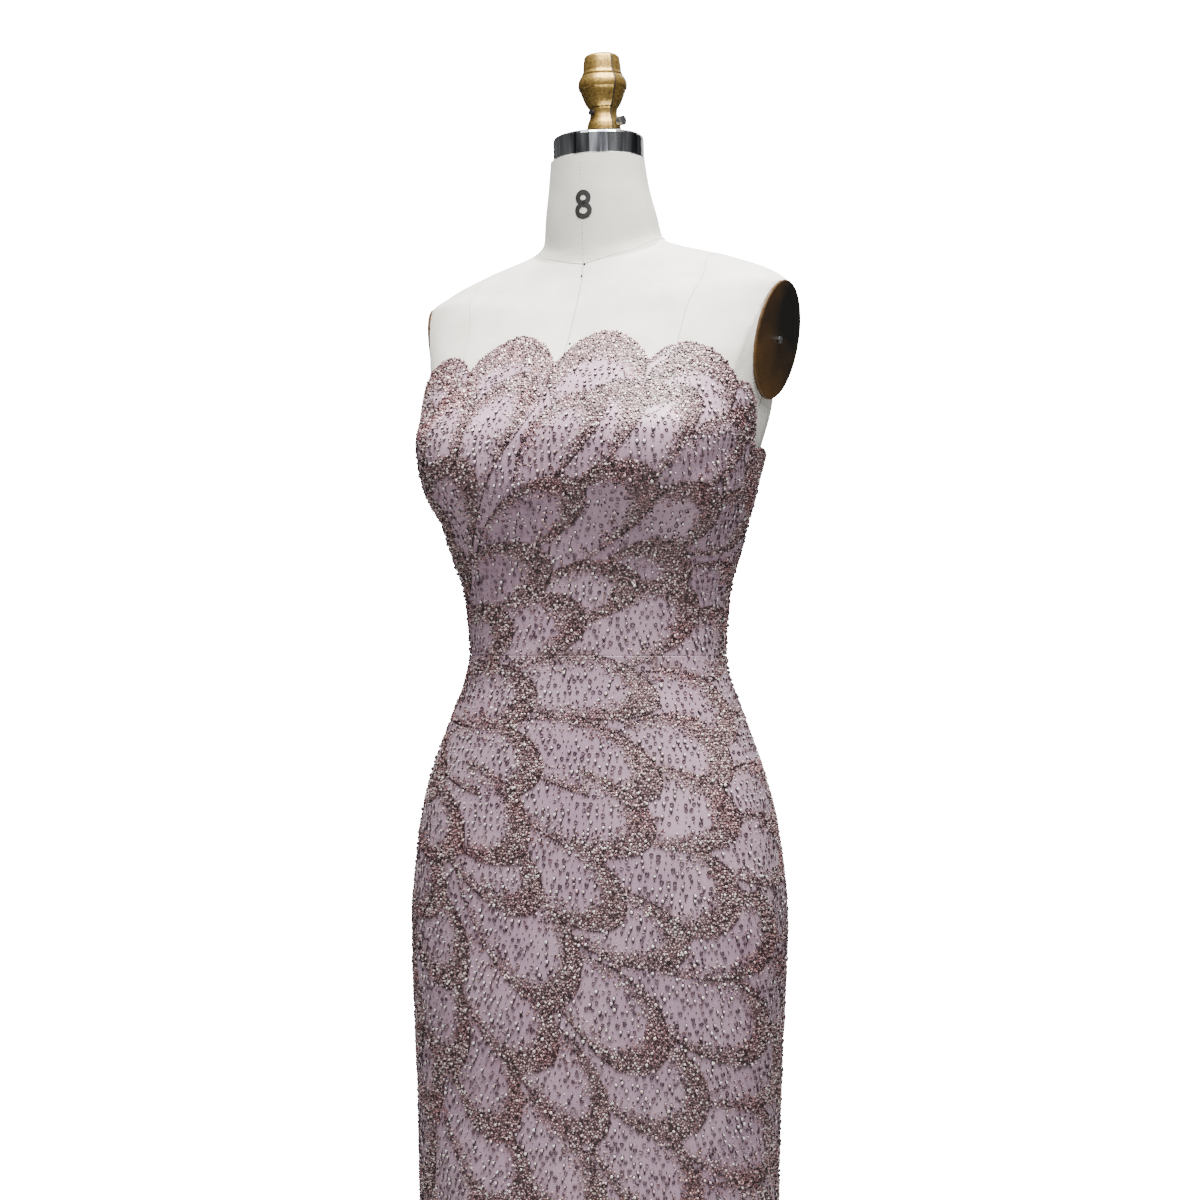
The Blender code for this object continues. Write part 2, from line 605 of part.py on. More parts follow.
def build_pull(collection, metal):
    """The pull tab, with a slot whose top bar turns inside the bridge. Its origin is on its axis."""
    outline = bpy.data.curves.new("zip_pull", "CURVE")
    outline.dimensions = "2D"
    outline.fill_mode = "BOTH"
    outline.extrude = PULL_BAR / 2
    top, tip_radius = PULL_BAR / 2, PULL_END_WIDTH / 2
    tip_centre = tip_radius - PULL_LENGTH
    turns = [math.radians(angle) for angle in range(0, -181, -30)]
    tip = [(tip_radius * math.cos(t), tip_centre + tip_radius * math.sin(t)) for t in turns]
    edge = [(-PULL_TOP_WIDTH / 2, top), (PULL_TOP_WIDTH / 2, top), *tip]
    slot = [
        (-PULL_SLOT_HALF_WIDTH, -top), (-PULL_SLOT_HALF_WIDTH, -PULL_SLOT_END),
        (PULL_SLOT_HALF_WIDTH, -PULL_SLOT_END), (PULL_SLOT_HALF_WIDTH, -top),
    ]
    for loop in (edge, slot):
        spline = outline.splines.new("POLY")
        spline.points.add(len(loop) - 1)
        spline.use_cyclic_u = True
        for point, (x, z) in zip(spline.points, loop):
            point.co = (x, z, 0, 1)
    return add_object("zip_pull", outline, collection, metal)


def build_zip(collection, cutters, metal):
    """The slider and the pull, which hangs straight down from its bar."""
    seat = zip_seat()
    pivot = Matrix.Translation((0, TOUCH_GAP + SLIDER_DEPTH + PULL_PIVOT_OUT, 0))
    build_slider(collection, cutters, metal, seat, pivot)
    pull = build_pull(collection, metal)
    pull.rotation_euler = (math.pi / 2, 0, 0)
    pull.location = (seat @ pivot).translation


def main():
    """Builds the gown, the dress form, the stand and the zip."""
    clear_scene()
    part = new_collection("mermaid_evening_gown_on_form")
    cutters = new_collection("cutters")
    cutters.hide_render = True
    materials = {name: make_material(name) for name in MATERIALS}
    build_gown(part, materials["beaded_cloth"])
    build_torso(part, cutters, materials["form_cover"])
    build_arm_plates(part, materials["plate_bronze"], materials["screw_steel"])
    build_neck_top(part, materials)
    build_stand(part, materials["stand_iron"])
    build_zip(part, cutters, materials["zip_metal"])


main()
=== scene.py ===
"""Looks for a beaded mermaid evening gown on a limbless dress form.

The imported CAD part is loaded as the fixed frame. The six cut pieces of the gown, the form's cover and the
cast finial are built again here as fine meshes on the same outer shape, and the beadwork is laid on them.

Metres, +Z up. The origin is on the floor, and the form faces -Y with its left side at +X. A place around
the body is a share of a half round: 0 at the centre front, 1 or -1 at the zip in the centre back.
"""

from __future__ import annotations

import json
import logging
import math
from collections.abc import Iterator
from dataclasses import dataclass, field, fields
from enum import Enum

import bmesh
import bpy
import numpy as np
from mathutils import Matrix, Vector
from mathutils.bvhtree import BVHTree

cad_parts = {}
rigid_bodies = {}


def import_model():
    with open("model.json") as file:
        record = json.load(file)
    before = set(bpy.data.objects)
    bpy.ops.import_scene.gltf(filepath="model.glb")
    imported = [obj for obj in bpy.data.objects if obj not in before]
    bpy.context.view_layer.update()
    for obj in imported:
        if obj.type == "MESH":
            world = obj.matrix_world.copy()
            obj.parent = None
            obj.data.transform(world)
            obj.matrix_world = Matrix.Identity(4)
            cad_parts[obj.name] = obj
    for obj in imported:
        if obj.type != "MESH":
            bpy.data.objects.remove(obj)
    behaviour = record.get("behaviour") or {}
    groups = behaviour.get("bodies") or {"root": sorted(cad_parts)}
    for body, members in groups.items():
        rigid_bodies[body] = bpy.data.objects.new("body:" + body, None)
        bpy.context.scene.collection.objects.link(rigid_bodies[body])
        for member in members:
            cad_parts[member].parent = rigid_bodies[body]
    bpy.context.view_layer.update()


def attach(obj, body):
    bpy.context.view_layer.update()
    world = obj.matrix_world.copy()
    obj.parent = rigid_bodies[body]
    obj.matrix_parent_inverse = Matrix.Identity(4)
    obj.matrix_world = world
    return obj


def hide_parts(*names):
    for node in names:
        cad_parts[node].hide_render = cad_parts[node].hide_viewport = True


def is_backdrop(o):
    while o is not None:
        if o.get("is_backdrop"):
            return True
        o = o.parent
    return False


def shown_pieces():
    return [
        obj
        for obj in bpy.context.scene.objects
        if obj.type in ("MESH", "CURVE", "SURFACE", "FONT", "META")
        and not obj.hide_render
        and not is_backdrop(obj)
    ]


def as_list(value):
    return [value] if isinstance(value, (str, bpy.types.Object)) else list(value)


LOG = logging.getLogger("gown")
GOWN_BODY = "gown_and_form"
MM = 0.001
UP = np.array([0.0, 0.0, 1.0])
# Taken off the length of a table, this keeps a place just short of its last row.
LAST_ROW = 1.001

# ---------------------------------------------------------------- the outer shape, as part.py gives it
WAIST_Z = 1.100
HEM_Z = 0.015
CLOTH_WALL = 0.002
SEAM_GAP = 0.0005
FORM_GAP = 0.0035
SIDE_SEAM = 0.5
RING_COLUMNS = (
    "z_front", "z_side", "z_back", "half_width", "front", "back", "mid", "front_power", "back_power",
)
RINGS = (
    (0.015, 0.015, 0.015, 0.366, -0.366, 0.366, 0.000, 2.0, 2.0),  # hem
    (0.100, 0.100, 0.100, 0.296, -0.294, 0.294, 0.000, 2.0, 2.0),
    (0.200, 0.200, 0.200, 0.232, -0.226, 0.226, 0.000, 2.0, 2.0),
    (0.300, 0.300, 0.300, 0.189, -0.176, 0.177, -0.002, 2.0, 2.0),
    (0.400, 0.400, 0.400, 0.165, -0.148, 0.149, -0.004, 2.0, 2.0),
    (0.490, 0.490, 0.490, 0.160, -0.138, 0.138, -0.010, 2.1, 2.1),  # knee
    (0.600, 0.600, 0.600, 0.162, -0.135, 0.136, -0.016, 2.1, 2.1),
    (0.700, 0.700, 0.700, 0.165, -0.128, 0.140, -0.020, 2.1, 2.1),
    (0.800, 0.800, 0.800, 0.169, -0.122, 0.141, -0.023, 2.2, 2.2),
    (0.870, 0.870, 0.870, 0.171, -0.118, 0.137, -0.024, 2.2, 2.3),  # hip
    (0.950, 0.950, 0.950, 0.163, -0.113, 0.125, -0.024, 2.2, 2.3),
    (1.000, 1.000, 1.000, 0.151, -0.108, 0.113, -0.022, 2.2, 2.2),
    (1.050, 1.050, 1.050, 0.132, -0.102, 0.100, -0.018, 2.2, 2.2),
    (1.100, 1.100, 1.100, 0.117, -0.098, 0.088, -0.015, 2.2, 2.2),  # waist
    (1.150, 1.150, 1.150, 0.120, -0.101, 0.088, -0.014, 2.3, 2.2),
    (1.200, 1.200, 1.200, 0.133, -0.113, 0.094, -0.017, 2.5, 2.3),
    (1.250, 1.250, 1.250, 0.147, -0.130, 0.103, -0.022, 2.9, 2.3),
    (1.285, 1.285, 1.285, 0.154, -0.133, 0.108, -0.016, 2.9, 2.4),  # bust
    (1.315, 1.315, 1.318, 0.160, -0.123, 0.110, -0.006, 2.7, 2.5),  # armpit
    (1.340, 1.343, 1.348, 0.165, -0.111, 0.111, -0.001, 2.5, 2.4),
    (1.362, 1.375, 1.380, 0.178, -0.096, 0.110, 0.003, 2.2, 2.3),
    (1.384, 1.404, 1.408, 0.184, -0.082, 0.106, 0.007, 2.1, 2.2),
    (1.405, 1.429, 1.432, 0.180, -0.071, 0.098, 0.011, 2.1, 2.1),  # shoulder point
    (1.422, 1.4445, 1.449, 0.164, -0.062, 0.089, 0.020, 2.0, 2.0),
    (1.438, 1.460, 1.466, 0.130, -0.055, 0.080, 0.024, 2.0, 2.0),
    (1.450, 1.470, 1.479, 0.098, -0.052, 0.072, 0.022, 2.0, 2.0),
    (1.457, 1.476, 1.488, 0.074, -0.051, 0.064, 0.014, 2.0, 2.0),
    (1.462, 1.481, 1.494, 0.061, -0.051, 0.058, 0.003, 2.0, 2.0),  # neck seam
    (1.488, 1.501, 1.508, 0.057, -0.053, 0.051, -0.003, 2.0, 2.0),
    (1.518, 1.524, 1.530, 0.052, -0.055, 0.043, -0.008, 2.0, 2.0),
    (1.544, 1.549, 1.554, 0.0485, -0.057, 0.038, -0.0105, 2.0, 2.0),  # neck top
)
RING_DIP_POWER = 1.5
RING_STEPS_BETWEEN = 12
ANGLE_STEPS = 180
BUST_Z = 1.270
BUST_ANGLE = math.radians(42)
BUST_RISE = 0.010
BUST_HEIGHT_SPREAD = 0.045
BUST_ANGLE_SPREAD = math.radians(20)
FLUTES = 12
FLUTE_DEPTH = 0.024
FLUTE_START_Z = 0.47
FLUTE_DEEPENING = 1.6
FLUTE_UNEVENNESS = 0.3
SCALLOP_ENDS = (0.0, 0.188, 0.372, 0.5, 0.667, 0.833, 1.0)
SCALLOP_POWER = 0.72
SCALLOP_ROW_POWER = 5.0
NECKLINE_COLUMNS = ("around", "valley_z", "rise")
NECKLINE = (
    (0.00, 1.346, 0.037),
    (0.19, 1.347, 0.027),
    (0.28, 1.342, 0.021),
    (0.37, 1.330, 0.017),
    (0.44, 1.303, 0.013),
    (0.50, 1.277, 0.012),
    (0.67, 1.262, 0.013),
    (0.83, 1.256, 0.014),
    (1.00, 1.254, 0.014),
)


def smooth_curve(at: np.ndarray, xs: np.ndarray, ys: np.ndarray) -> np.ndarray:
    """Reads a monotone cubic through points.

    Args:
        at: The places to read it at.
        xs: Where its points are.
        ys: Their values.

    Returns:
        The curve's value at each place.
    """
    at, xs, ys = (np.asarray(values, float) for values in (at, xs, ys))
    steps, slopes = np.diff(xs), np.diff(ys) / np.diff(xs)
    tangents = np.zeros_like(ys)
    same_way = slopes[:-1] * slopes[1:] > 0
    left, right = 2 * steps[1:] + steps[:-1], steps[1:] + 2 * steps[:-1]
    safe = [np.where(same_way, part, 1.0) for part in (slopes[:-1], slopes[1:])]
    tangents[1:-1] = np.where(same_way, (left + right) / (left / safe[0] + right / safe[1]), 0.0)
    tangents[0], tangents[-1] = slopes[0], slopes[-1]
    i = np.clip(np.searchsorted(xs, at, side="right") - 1, 0, len(xs) - 2)
    t = np.clip((at - xs[i]) / steps[i], 0.0, 1.0)
    return (
        ys[i] * (1 + 2 * t) * (1 - t) ** 2
        + ys[i + 1] * t**2 * (3 - 2 * t)
        + steps[i] * t * (1 - t) * (tangents[i] * (1 - t) - tangents[i + 1] * t)
    )


def unit(vectors: np.ndarray) -> np.ndarray:
    """Scales each vector to a length of one."""
    return vectors / np.linalg.norm(vectors, axis=-1, keepdims=True)


def lengths_along(points: np.ndarray) -> np.ndarray:
    """How far along a line of points each one is, from the first."""
    return np.concatenate([[0.0], np.cumsum(np.linalg.norm(np.diff(points, axis=0), axis=1))])


def ring_points(place: float, angles: np.ndarray) -> np.ndarray:
    """Points of one ring of the outer shape.

    Args:
        place: Counts rings from the hem, whole or not.
        angles: 0 is the front, half a turn is the back, and positive angles go to +X.

    Returns:
        One point for each angle.
    """
    table, index = np.array(RINGS), np.arange(len(RINGS))
    ring = {name: smooth_curve(place, index, table[:, c]) for c, name in enumerate(RING_COLUMNS)}
    sine, cosine = np.sin(angles), np.cos(angles)
    in_front = cosine >= 0
    depth = np.where(in_front, ring["mid"] - ring["front"], ring["back"] - ring["mid"])
    power = np.where(in_front, ring["front_power"], ring["back_power"])
    across, along = np.abs(sine) / ring["half_width"], np.abs(cosine) / depth
    radius = (across**power + along**power) ** (-1 / power)
    z = (
        ring["z_side"]
        + (ring["z_front"] - ring["z_side"]) * np.clip(cosine, 0, 1) ** RING_DIP_POWER
        + (ring["z_back"] - ring["z_side"]) * np.clip(-cosine, 0, 1) ** RING_DIP_POWER
    )
    bust = np.exp(-(((z - BUST_Z) / BUST_HEIGHT_SPREAD) ** 2))
    bust = bust * np.exp(-(((np.abs(angles) - BUST_ANGLE) / BUST_ANGLE_SPREAD) ** 2))
    flute = np.clip((FLUTE_START_Z - z) / (FLUTE_START_Z - HEM_Z), 0, 1) ** FLUTE_DEEPENING
    wave = -np.cos(FLUTES * angles + FLUTE_UNEVENNESS * np.sin(4 * angles))
    radius = radius + BUST_RISE * bust + FLUTE_DEPTH * flute * wave
    return np.stack([radius * sine, ring["mid"] - radius * cosine, z], axis=-1)


def lattice(arounds: np.ndarray) -> np.ndarray:
    """Columns of the outer shape, one for each place around, from the hem to the top of the neck."""
    places = np.linspace(0, len(RINGS) - 1, (len(RINGS) - 1) * RING_STEPS_BETWEEN + 1)
    angles = np.linspace(0, math.pi, ANGLE_STEPS + 1)
    columns = np.zeros((len(places), len(arounds), 3))
    for row, place in enumerate(places):
        half = ring_points(place, angles)
        along = lengths_along(half)
        for axis in range(3):
            columns[row, :, axis] = np.interp(np.abs(arounds) * along[-1], along, half[:, axis])
    columns[:, :, 0] *= np.where(np.asarray(arounds) < 0, -1, 1)
    return columns


def neckline_z(around: np.ndarray) -> tuple[np.ndarray, np.ndarray]:
    """The height of the neckline's valleys at each place around, and the scallop's rise above it there."""
    share = np.abs(np.asarray(around, float))
    table = dict(zip(NECKLINE_COLUMNS, np.transpose(NECKLINE)))
    valley = smooth_curve(share, table["around"], table["valley_z"])
    rise = smooth_curve(share, table["around"], table["rise"])
    scallop = np.interp(share, SCALLOP_ENDS, range(len(SCALLOP_ENDS)))
    return valley, rise * np.abs(np.sin(math.pi * scallop)) ** SCALLOP_POWER


# ---------------------------------------------------------------- small tools
def linear(hex_colour: str, alpha: float = 1.0) -> tuple[float, float, float, float]:
    """Turns an sRGB hex colour to the linear values that a shader takes."""
    parts = [int(hex_colour[i : i + 2], 16) / 255 for i in (0, 2, 4)]
    return (*(c / 12.92 if c <= 0.04045 else ((c + 0.055) / 1.055) ** 2.4 for c in parts), alpha)


def add_node(tree: bpy.types.NodeTree, kind: str, inputs: dict | None = None, **settings) -> bpy.types.Node:
    """Adds one node with its settings and links.

    Args:
        tree: The node tree it goes in.
        kind: Blender's name for the node.
        inputs: A value or another node's output for each socket that is set, by name or index.
        **settings: The node's own settings.

    Returns:
        The new node.
    """
    made = tree.nodes.new(kind)
    for name, value in settings.items():
        setattr(made, name, value)
    set_inputs(tree, made, inputs or {})
    return made


def set_inputs(tree: bpy.types.NodeTree, node: bpy.types.Node, inputs: dict) -> None:
    """Gives each named socket of a node its value, or links it to another node's output."""
    for name, value in inputs.items():
        if isinstance(value, bpy.types.NodeSocket):
            tree.links.new(value, node.inputs[name])
        else:
            node.inputs[name].default_value = value


def set_ramp(node: bpy.types.Node, stops: tuple[tuple[float, str], ...]) -> bpy.types.Node:
    """Gives a colour ramp its stops, as (place, sRGB hex) pairs."""
    elements = node.color_ramp.elements
    while len(elements) < len(stops):
        elements.new(0.5)
    for element, (place, colour) in zip(elements, stops):
        element.position = place
        element.color = linear(colour)
    return node


def new_material(name: str) -> tuple[bpy.types.Material, bpy.types.NodeTree, bpy.types.Node]:
    """Starts a node material, and returns it with its tree and its Principled shader."""
    material = bpy.data.materials.new(name)
    material.use_nodes = True
    tree = material.node_tree
    return material, tree, tree.nodes["Principled BSDF"]


def mesh_from_arrays(name: str, points: np.ndarray, faces: np.ndarray, smooth: bool = True) -> bpy.types.Mesh:
    """Makes a mesh from points and faces that all have the same number of corners.

    Args:
        name: The mesh's name.
        points: (n, 3) places.
        faces: (m, corners) indices of points.
        smooth: Whether the faces are shaded smooth.

    Returns:
        The mesh.
    """
    mesh = bpy.data.meshes.new(name)
    count, corners = faces.shape
    mesh.vertices.add(len(points))
    mesh.vertices.foreach_set("co", np.ascontiguousarray(points, np.float32).ravel())
    mesh.loops.add(count * corners)
    mesh.loops.foreach_set("vertex_index", np.ascontiguousarray(faces, np.int32).ravel())
    mesh.polygons.add(count)
    mesh.polygons.foreach_set("loop_start", np.arange(0, count * corners, corners, dtype=np.int32))
    mesh.polygons.foreach_set("use_smooth", np.full(count, smooth))
    mesh.update(calc_edges=True)
    return mesh


def grid_faces(rows: int, columns: int, closed: bool = False) -> np.ndarray:
    """Quads of a grid of points, facing outwards where rows go up and columns go towards +X at the front."""
    index = np.arange(rows * columns).reshape(rows, columns)
    following = np.roll(index, -1, axis=1) if closed else index[:, 1:]
    index = index if closed else index[:, :-1]
    quads = (index[:-1], following[:-1], following[1:], index[1:])
    return np.stack([corner.ravel() for corner in quads], axis=1)


def link_object(name: str, data: bpy.types.ID) -> bpy.types.Object:
    """Makes an object of a mesh, light or camera, and links it to the scene."""
    obj = bpy.data.objects.new(name, data)
    bpy.context.scene.collection.objects.link(obj)
    return obj


def add_piece(name: str, mesh: bpy.types.Mesh, finish: Finish) -> bpy.types.Object:
    """Adds a piece that rides with the gown and its form, with its finish."""
    obj = link_object(name, mesh)
    mesh.materials.append(finish.material())
    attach(obj, GOWN_BODY)
    LOG.info("%s: %d faces", name, len(mesh.polygons))
    return obj


def dress(node: str, finish: Finish) -> None:
    """Gives a CAD node its finish."""
    materials = bpy.data.objects[node].data.materials
    materials.clear()
    materials.append(finish.material())


def strip_mesh(
    name: str, points: np.ndarray, normals: np.ndarray, section: tuple[tuple[float, float], ...],
    closed: bool = False,
) -> bpy.types.Mesh:
    """Runs a section along a line of points on a surface.

    Args:
        name: The mesh's name.
        points: The line.
        normals: The surface's outward normal at each of its points.
        section: (across, out) of each corner of the section, in metres.
        closed: Whether the last corner joins the first.

    Returns:
        The mesh.
    """
    side = unit(np.cross(normals, np.gradient(points, axis=0)))
    strip = np.stack([points + normals * out + side * across for across, out in section], axis=1)
    return mesh_from_arrays(name, strip.reshape(-1, 3), grid_faces(*strip.shape[:2], closed=closed))


def set_attribute(mesh: bpy.types.Mesh, name: str, values: np.ndarray) -> None:
    """Writes one number for each point of a mesh."""
    mesh.attributes.new(name, "FLOAT", "POINT").data.foreach_set("value", values.astype(np.float32))


# ---------------------------------------------------------------- finishes
@dataclass(frozen=True)
class BeadedSatin:
    """Duchess satin, woven, under a layer of tulle that carries the beads."""

    name: str = "duchess_satin_under_tulle"
    ground_light: str = "bb9eb0"
    ground_dark: str = "a4879b"
    # Drawn beads: pale middles, partly a painted highlight; the colour under them; painted shade in the gaps
    # between them.
    bead_light: str = "bca1a5"
    under_beads: str = "80666a"
    bead_gap: str = "4a393d"
    bead_mm: float = 1.9
    cloud_mm: float = 60.0
    thread_mm: float = 1.4
    bump: float = 0.35
    bump_mm: float = 0.6
    roughness: float = 0.42
    sheen: float = 0.15
    sheen_roughness: float = 0.4

    def build(self) -> bpy.types.Material:
        """Lilac satin with a low sheen; between the geometry beads, the smallest ones are drawn as cells with
        painted highlights and painted shade.
        """
        material, tree, shader = new_material(self.name)
        where = add_node(tree, "ShaderNodeTexCoord").outputs["Object"]
        band = add_node(tree, "ShaderNodeAttribute", attribute_name="band").outputs["Fac"]
        cloud = add_node(
            tree, "ShaderNodeTexNoise", {"Vector": where, "Scale": 1 / (self.cloud_mm * MM), "Detail": 4.0}
        ).outputs["Fac"]
        ground = set_ramp(
            add_node(tree, "ShaderNodeValToRGB", {"Fac": cloud}),
            ((0.3, self.ground_dark), (0.7, self.ground_light)),
        ).outputs["Color"]
        cells = add_node(
            tree, "ShaderNodeTexVoronoi", {"Vector": where, "Scale": 1 / (self.bead_mm * MM)}
        ).outputs["Distance"]
        # Each cell: a painted highlight in its middle, fading through the beads' colour to painted shade at
        # its edge.
        beads = set_ramp(
            add_node(tree, "ShaderNodeValToRGB", {"Fac": cells}),
            ((0.15, self.bead_light), (0.4, self.under_beads), (0.75, self.bead_gap)),
        ).outputs["Color"]
        colour = add_node(tree, "ShaderNodeMix", {0: band, 6: ground, 7: beads}, data_type="RGBA")
        thread = add_node(
            tree, "ShaderNodeTexNoise", {"Vector": where, "Scale": 1 / (self.thread_mm * MM), "Detail": 3.0}
        ).outputs["Fac"]
        deep = add_node(tree, "ShaderNodeMath", {0: band, 1: cells}, operation="MULTIPLY").outputs["Value"]
        height = add_node(
            tree, "ShaderNodeMath", {0: deep, 1: -1.0, 2: thread}, operation="MULTIPLY_ADD"
        ).outputs["Value"]
        bump = add_node(
            tree, "ShaderNodeBump",
            {"Height": height, "Strength": self.bump, "Distance": self.bump_mm * MM},
        )
        set_inputs(tree, shader, {
            "Base Color": colour.outputs[2], "Normal": bump.outputs["Normal"], "Roughness": self.roughness,
            "Sheen Weight": self.sheen, "Sheen Roughness": self.sheen_roughness,
        })
        return material


@dataclass(frozen=True)
class BeadGlass:
    """Pressed glass beads, silver-lined, in a mix of colours told apart by each bead's own tone."""

    name: str
    stops: tuple[tuple[float, str], ...]
    # rim: painted shade on each bead's foot, where it meets the cloth; the share after it: the crowns over
    # which it gives way to the glass.
    rim: str
    rim_share: tuple[float, float]
    roughness: float
    metallic: float
    coat: float = 0.0
    lots: tuple[str, str, str] = ("f2cfcf", "fbf1f3", "f3e4de")
    lot_mm: float = 38.0

    def build(self) -> bpy.types.Material:
        """Bright glints, painted shade on the edge where each bead meets the cloth, and lots that drift in
        hue.
        """
        material, tree, shader = new_material(self.name)
        tone = add_node(tree, "ShaderNodeAttribute", attribute_name="tone").outputs["Fac"]
        crown = add_node(tree, "ShaderNodeAttribute", attribute_name="crown").outputs["Fac"]
        where = add_node(tree, "ShaderNodeTexCoord").outputs["Object"]
        mixed = set_ramp(add_node(tree, "ShaderNodeValToRGB", {"Fac": tone}), self.stops)
        mixed.color_ramp.interpolation = "CONSTANT"
        drift = add_node(
            tree, "ShaderNodeTexNoise", {"Vector": where, "Scale": 1 / (self.lot_mm * MM), "Detail": 2.0}
        ).outputs["Fac"]
        lot = set_ramp(
            add_node(tree, "ShaderNodeValToRGB", {"Fac": drift}), tuple(zip((0.36, 0.5, 0.64), self.lots))
        ).outputs["Color"]
        glass = add_node(
            tree, "ShaderNodeMix", {0: 1.0, 6: mixed.outputs["Color"], 7: lot},
            data_type="RGBA", blend_type="MULTIPLY",
        ).outputs[2]
        # Painted shade: below the lower crown each bead takes the rim colour, which fades to the glass above
        # it.
        low, high = self.rim_share
        top = add_node(tree, "ShaderNodeMapRange", {"Value": crown, "From Min": low, "From Max": high})
        colour = add_node(
            tree, "ShaderNodeMix", {0: top.outputs["Result"], 6: linear(self.rim), 7: glass}, data_type="RGBA"
        )
        set_inputs(tree, shader, {
            "Base Color": colour.outputs[2], "Roughness": self.roughness, "Metallic": self.metallic,
            "Coat Weight": self.coat,
        })
        return material


@dataclass(frozen=True)
class Canvas:
    """Bleached cotton canvas, plain-woven, stretched over padding."""

    name: str = "bleached_cotton_canvas"
    light: str = "e6e5de"
    dark: str = "d6d4cb"
    speck: str = "a9a69a"
    # Painted shade, multiplied over the canvas of the upright neck.
    neck: str = "d6d6d4"
    # The neck's seam as two planes, (fall to the back, height): what lies above either is the neck's panel,
    # which is darkened with painted shade.
    neck_seam: tuple[tuple[float, float], ...] = ((-0.56, 1.4762), (-0.30, 1.4775))
    seam_mm: float = 0.5
    thread_mm: float = 1.2
    speck_mm: float = 5.0
    clouds_per_metre: float = 30.0
    bump: float = 0.25
    bump_mm: float = 0.3
    roughness: float = 0.85
    sheen: float = 0.15

    # The wave texture counts its scale in radians.
    WAVE_TURN = 6.283

    def build(self) -> bpy.types.Material:
        """Matt off-white, with painted shade on the neck's own panel; the 0.5 mm weave is drawn at 1.2 mm to
        show.
        """
        material, tree, shader = new_material(self.name)
        where = add_node(tree, "ShaderNodeTexCoord").outputs["Object"]
        cloud = add_node(
            tree, "ShaderNodeTexNoise", {"Vector": where, "Scale": self.clouds_per_metre, "Detail": 6.0}
        )
        base = set_ramp(
            add_node(tree, "ShaderNodeValToRGB", {"Fac": cloud.outputs["Fac"]}),
            ((0.35, self.dark), (0.65, self.light)),
        ).outputs["Color"]
        speck = add_node(
            tree, "ShaderNodeTexVoronoi", {"Vector": where, "Scale": 1 / (self.speck_mm * MM)}
        ).outputs["Distance"]
        share = set_ramp(
            add_node(tree, "ShaderNodeValToRGB", {"Fac": speck}), ((0.06, "707070"), (0.11, "000000"))
        ).outputs["Color"]
        flecked = add_node(
            tree, "ShaderNodeMix", {0: share, 6: base, 7: linear(self.speck)}, data_type="RGBA"
        ).outputs[2]
        axes = add_node(tree, "ShaderNodeSeparateXYZ", {"Vector": where}).outputs
        over = []
        for slope, height in self.neck_seam:
            above = add_node(tree, "ShaderNodeMath", {0: axes["Z"], 1: -height}, operation="ADD")
            leaning = {0: axes["Y"], 1: slope, 2: above.outputs["Value"]}
            over.append(add_node(tree, "ShaderNodeMath", leaning, operation="MULTIPLY_ADD").outputs["Value"])
        rise = add_node(tree, "ShaderNodeMath", {0: over[0], 1: over[1]}, operation="MAXIMUM")
        near = self.seam_mm * MM
        neck = add_node(
            tree, "ShaderNodeMapRange",
            {"Value": rise.outputs["Value"], "From Min": -near, "From Max": near},
        ).outputs["Result"]
        # Painted shade: above the neck's seam the canvas is multiplied by the neck colour.
        colour = add_node(
            tree, "ShaderNodeMix", {0: neck, 6: flecked, 7: linear(self.neck)},
            data_type="RGBA", blend_type="MULTIPLY",
        )
        wave = {
            "Vector": where, "Scale": 1 / (self.thread_mm * MM) / self.WAVE_TURN, "Distortion": 1.0,
            "Detail": 1.0,
        }
        warp, weft = (
            add_node(tree, "ShaderNodeTexWave", wave, bands_direction=way).outputs["Fac"] for way in "XZ"
        )
        weave = add_node(tree, "ShaderNodeMath", {0: warp, 1: weft}, operation="MAXIMUM").outputs["Value"]
        bump = add_node(
            tree, "ShaderNodeBump",
            {"Height": weave, "Strength": self.bump, "Distance": self.bump_mm * MM},
        )
        set_inputs(tree, shader, {
            "Base Color": colour.outputs[2], "Normal": bump.outputs["Normal"], "Roughness": self.roughness,
            "Sheen Weight": self.sheen,
        })
        return material


@dataclass(frozen=True)
class Metal:
    """A metal part: cast, turned, polished or lacquered, by its numbers."""

    name: str
    light: str
    dark: str
    metallic: float
    roughness: float
    grain_mm: tuple[float, float, float]
    bump: float = 0.0
    bump_mm: float = 0.3
    coat: float = 0.0
    rough_spread: float = 0.1

    def build(self) -> bpy.types.Material:
        """Colour and gloss that wander with the grain of the surface; on the cap, the stretched grain paints
        reflections as streaks.
        """
        material, tree, shader = new_material(self.name)
        where = add_node(tree, "ShaderNodeTexCoord").outputs["Object"]
        scale = tuple(1 / (size * MM) for size in self.grain_mm)
        stretched = add_node(tree, "ShaderNodeMapping", {"Vector": where, "Scale": scale}).outputs["Vector"]
        grain = add_node(
            tree, "ShaderNodeTexNoise", {"Vector": stretched, "Scale": 1.0, "Detail": 5.0}
        ).outputs["Fac"]
        colour = set_ramp(
            add_node(tree, "ShaderNodeValToRGB", {"Fac": grain}), ((0.35, self.dark), (0.65, self.light))
        )
        spread = {0: grain, 1: self.rough_spread, 2: self.roughness - self.rough_spread / 2}
        rough = add_node(tree, "ShaderNodeMath", spread, operation="MULTIPLY_ADD")
        set_inputs(tree, shader, {
            "Base Color": colour.outputs["Color"], "Roughness": rough.outputs["Value"],
            "Metallic": self.metallic, "Coat Weight": self.coat,
        })
        if self.bump:
            raised = {"Height": grain, "Strength": self.bump, "Distance": self.bump_mm * MM}
            bump = add_node(tree, "ShaderNodeBump", raised)
            tree.links.new(bump.outputs["Normal"], shader.inputs["Normal"])
        return material


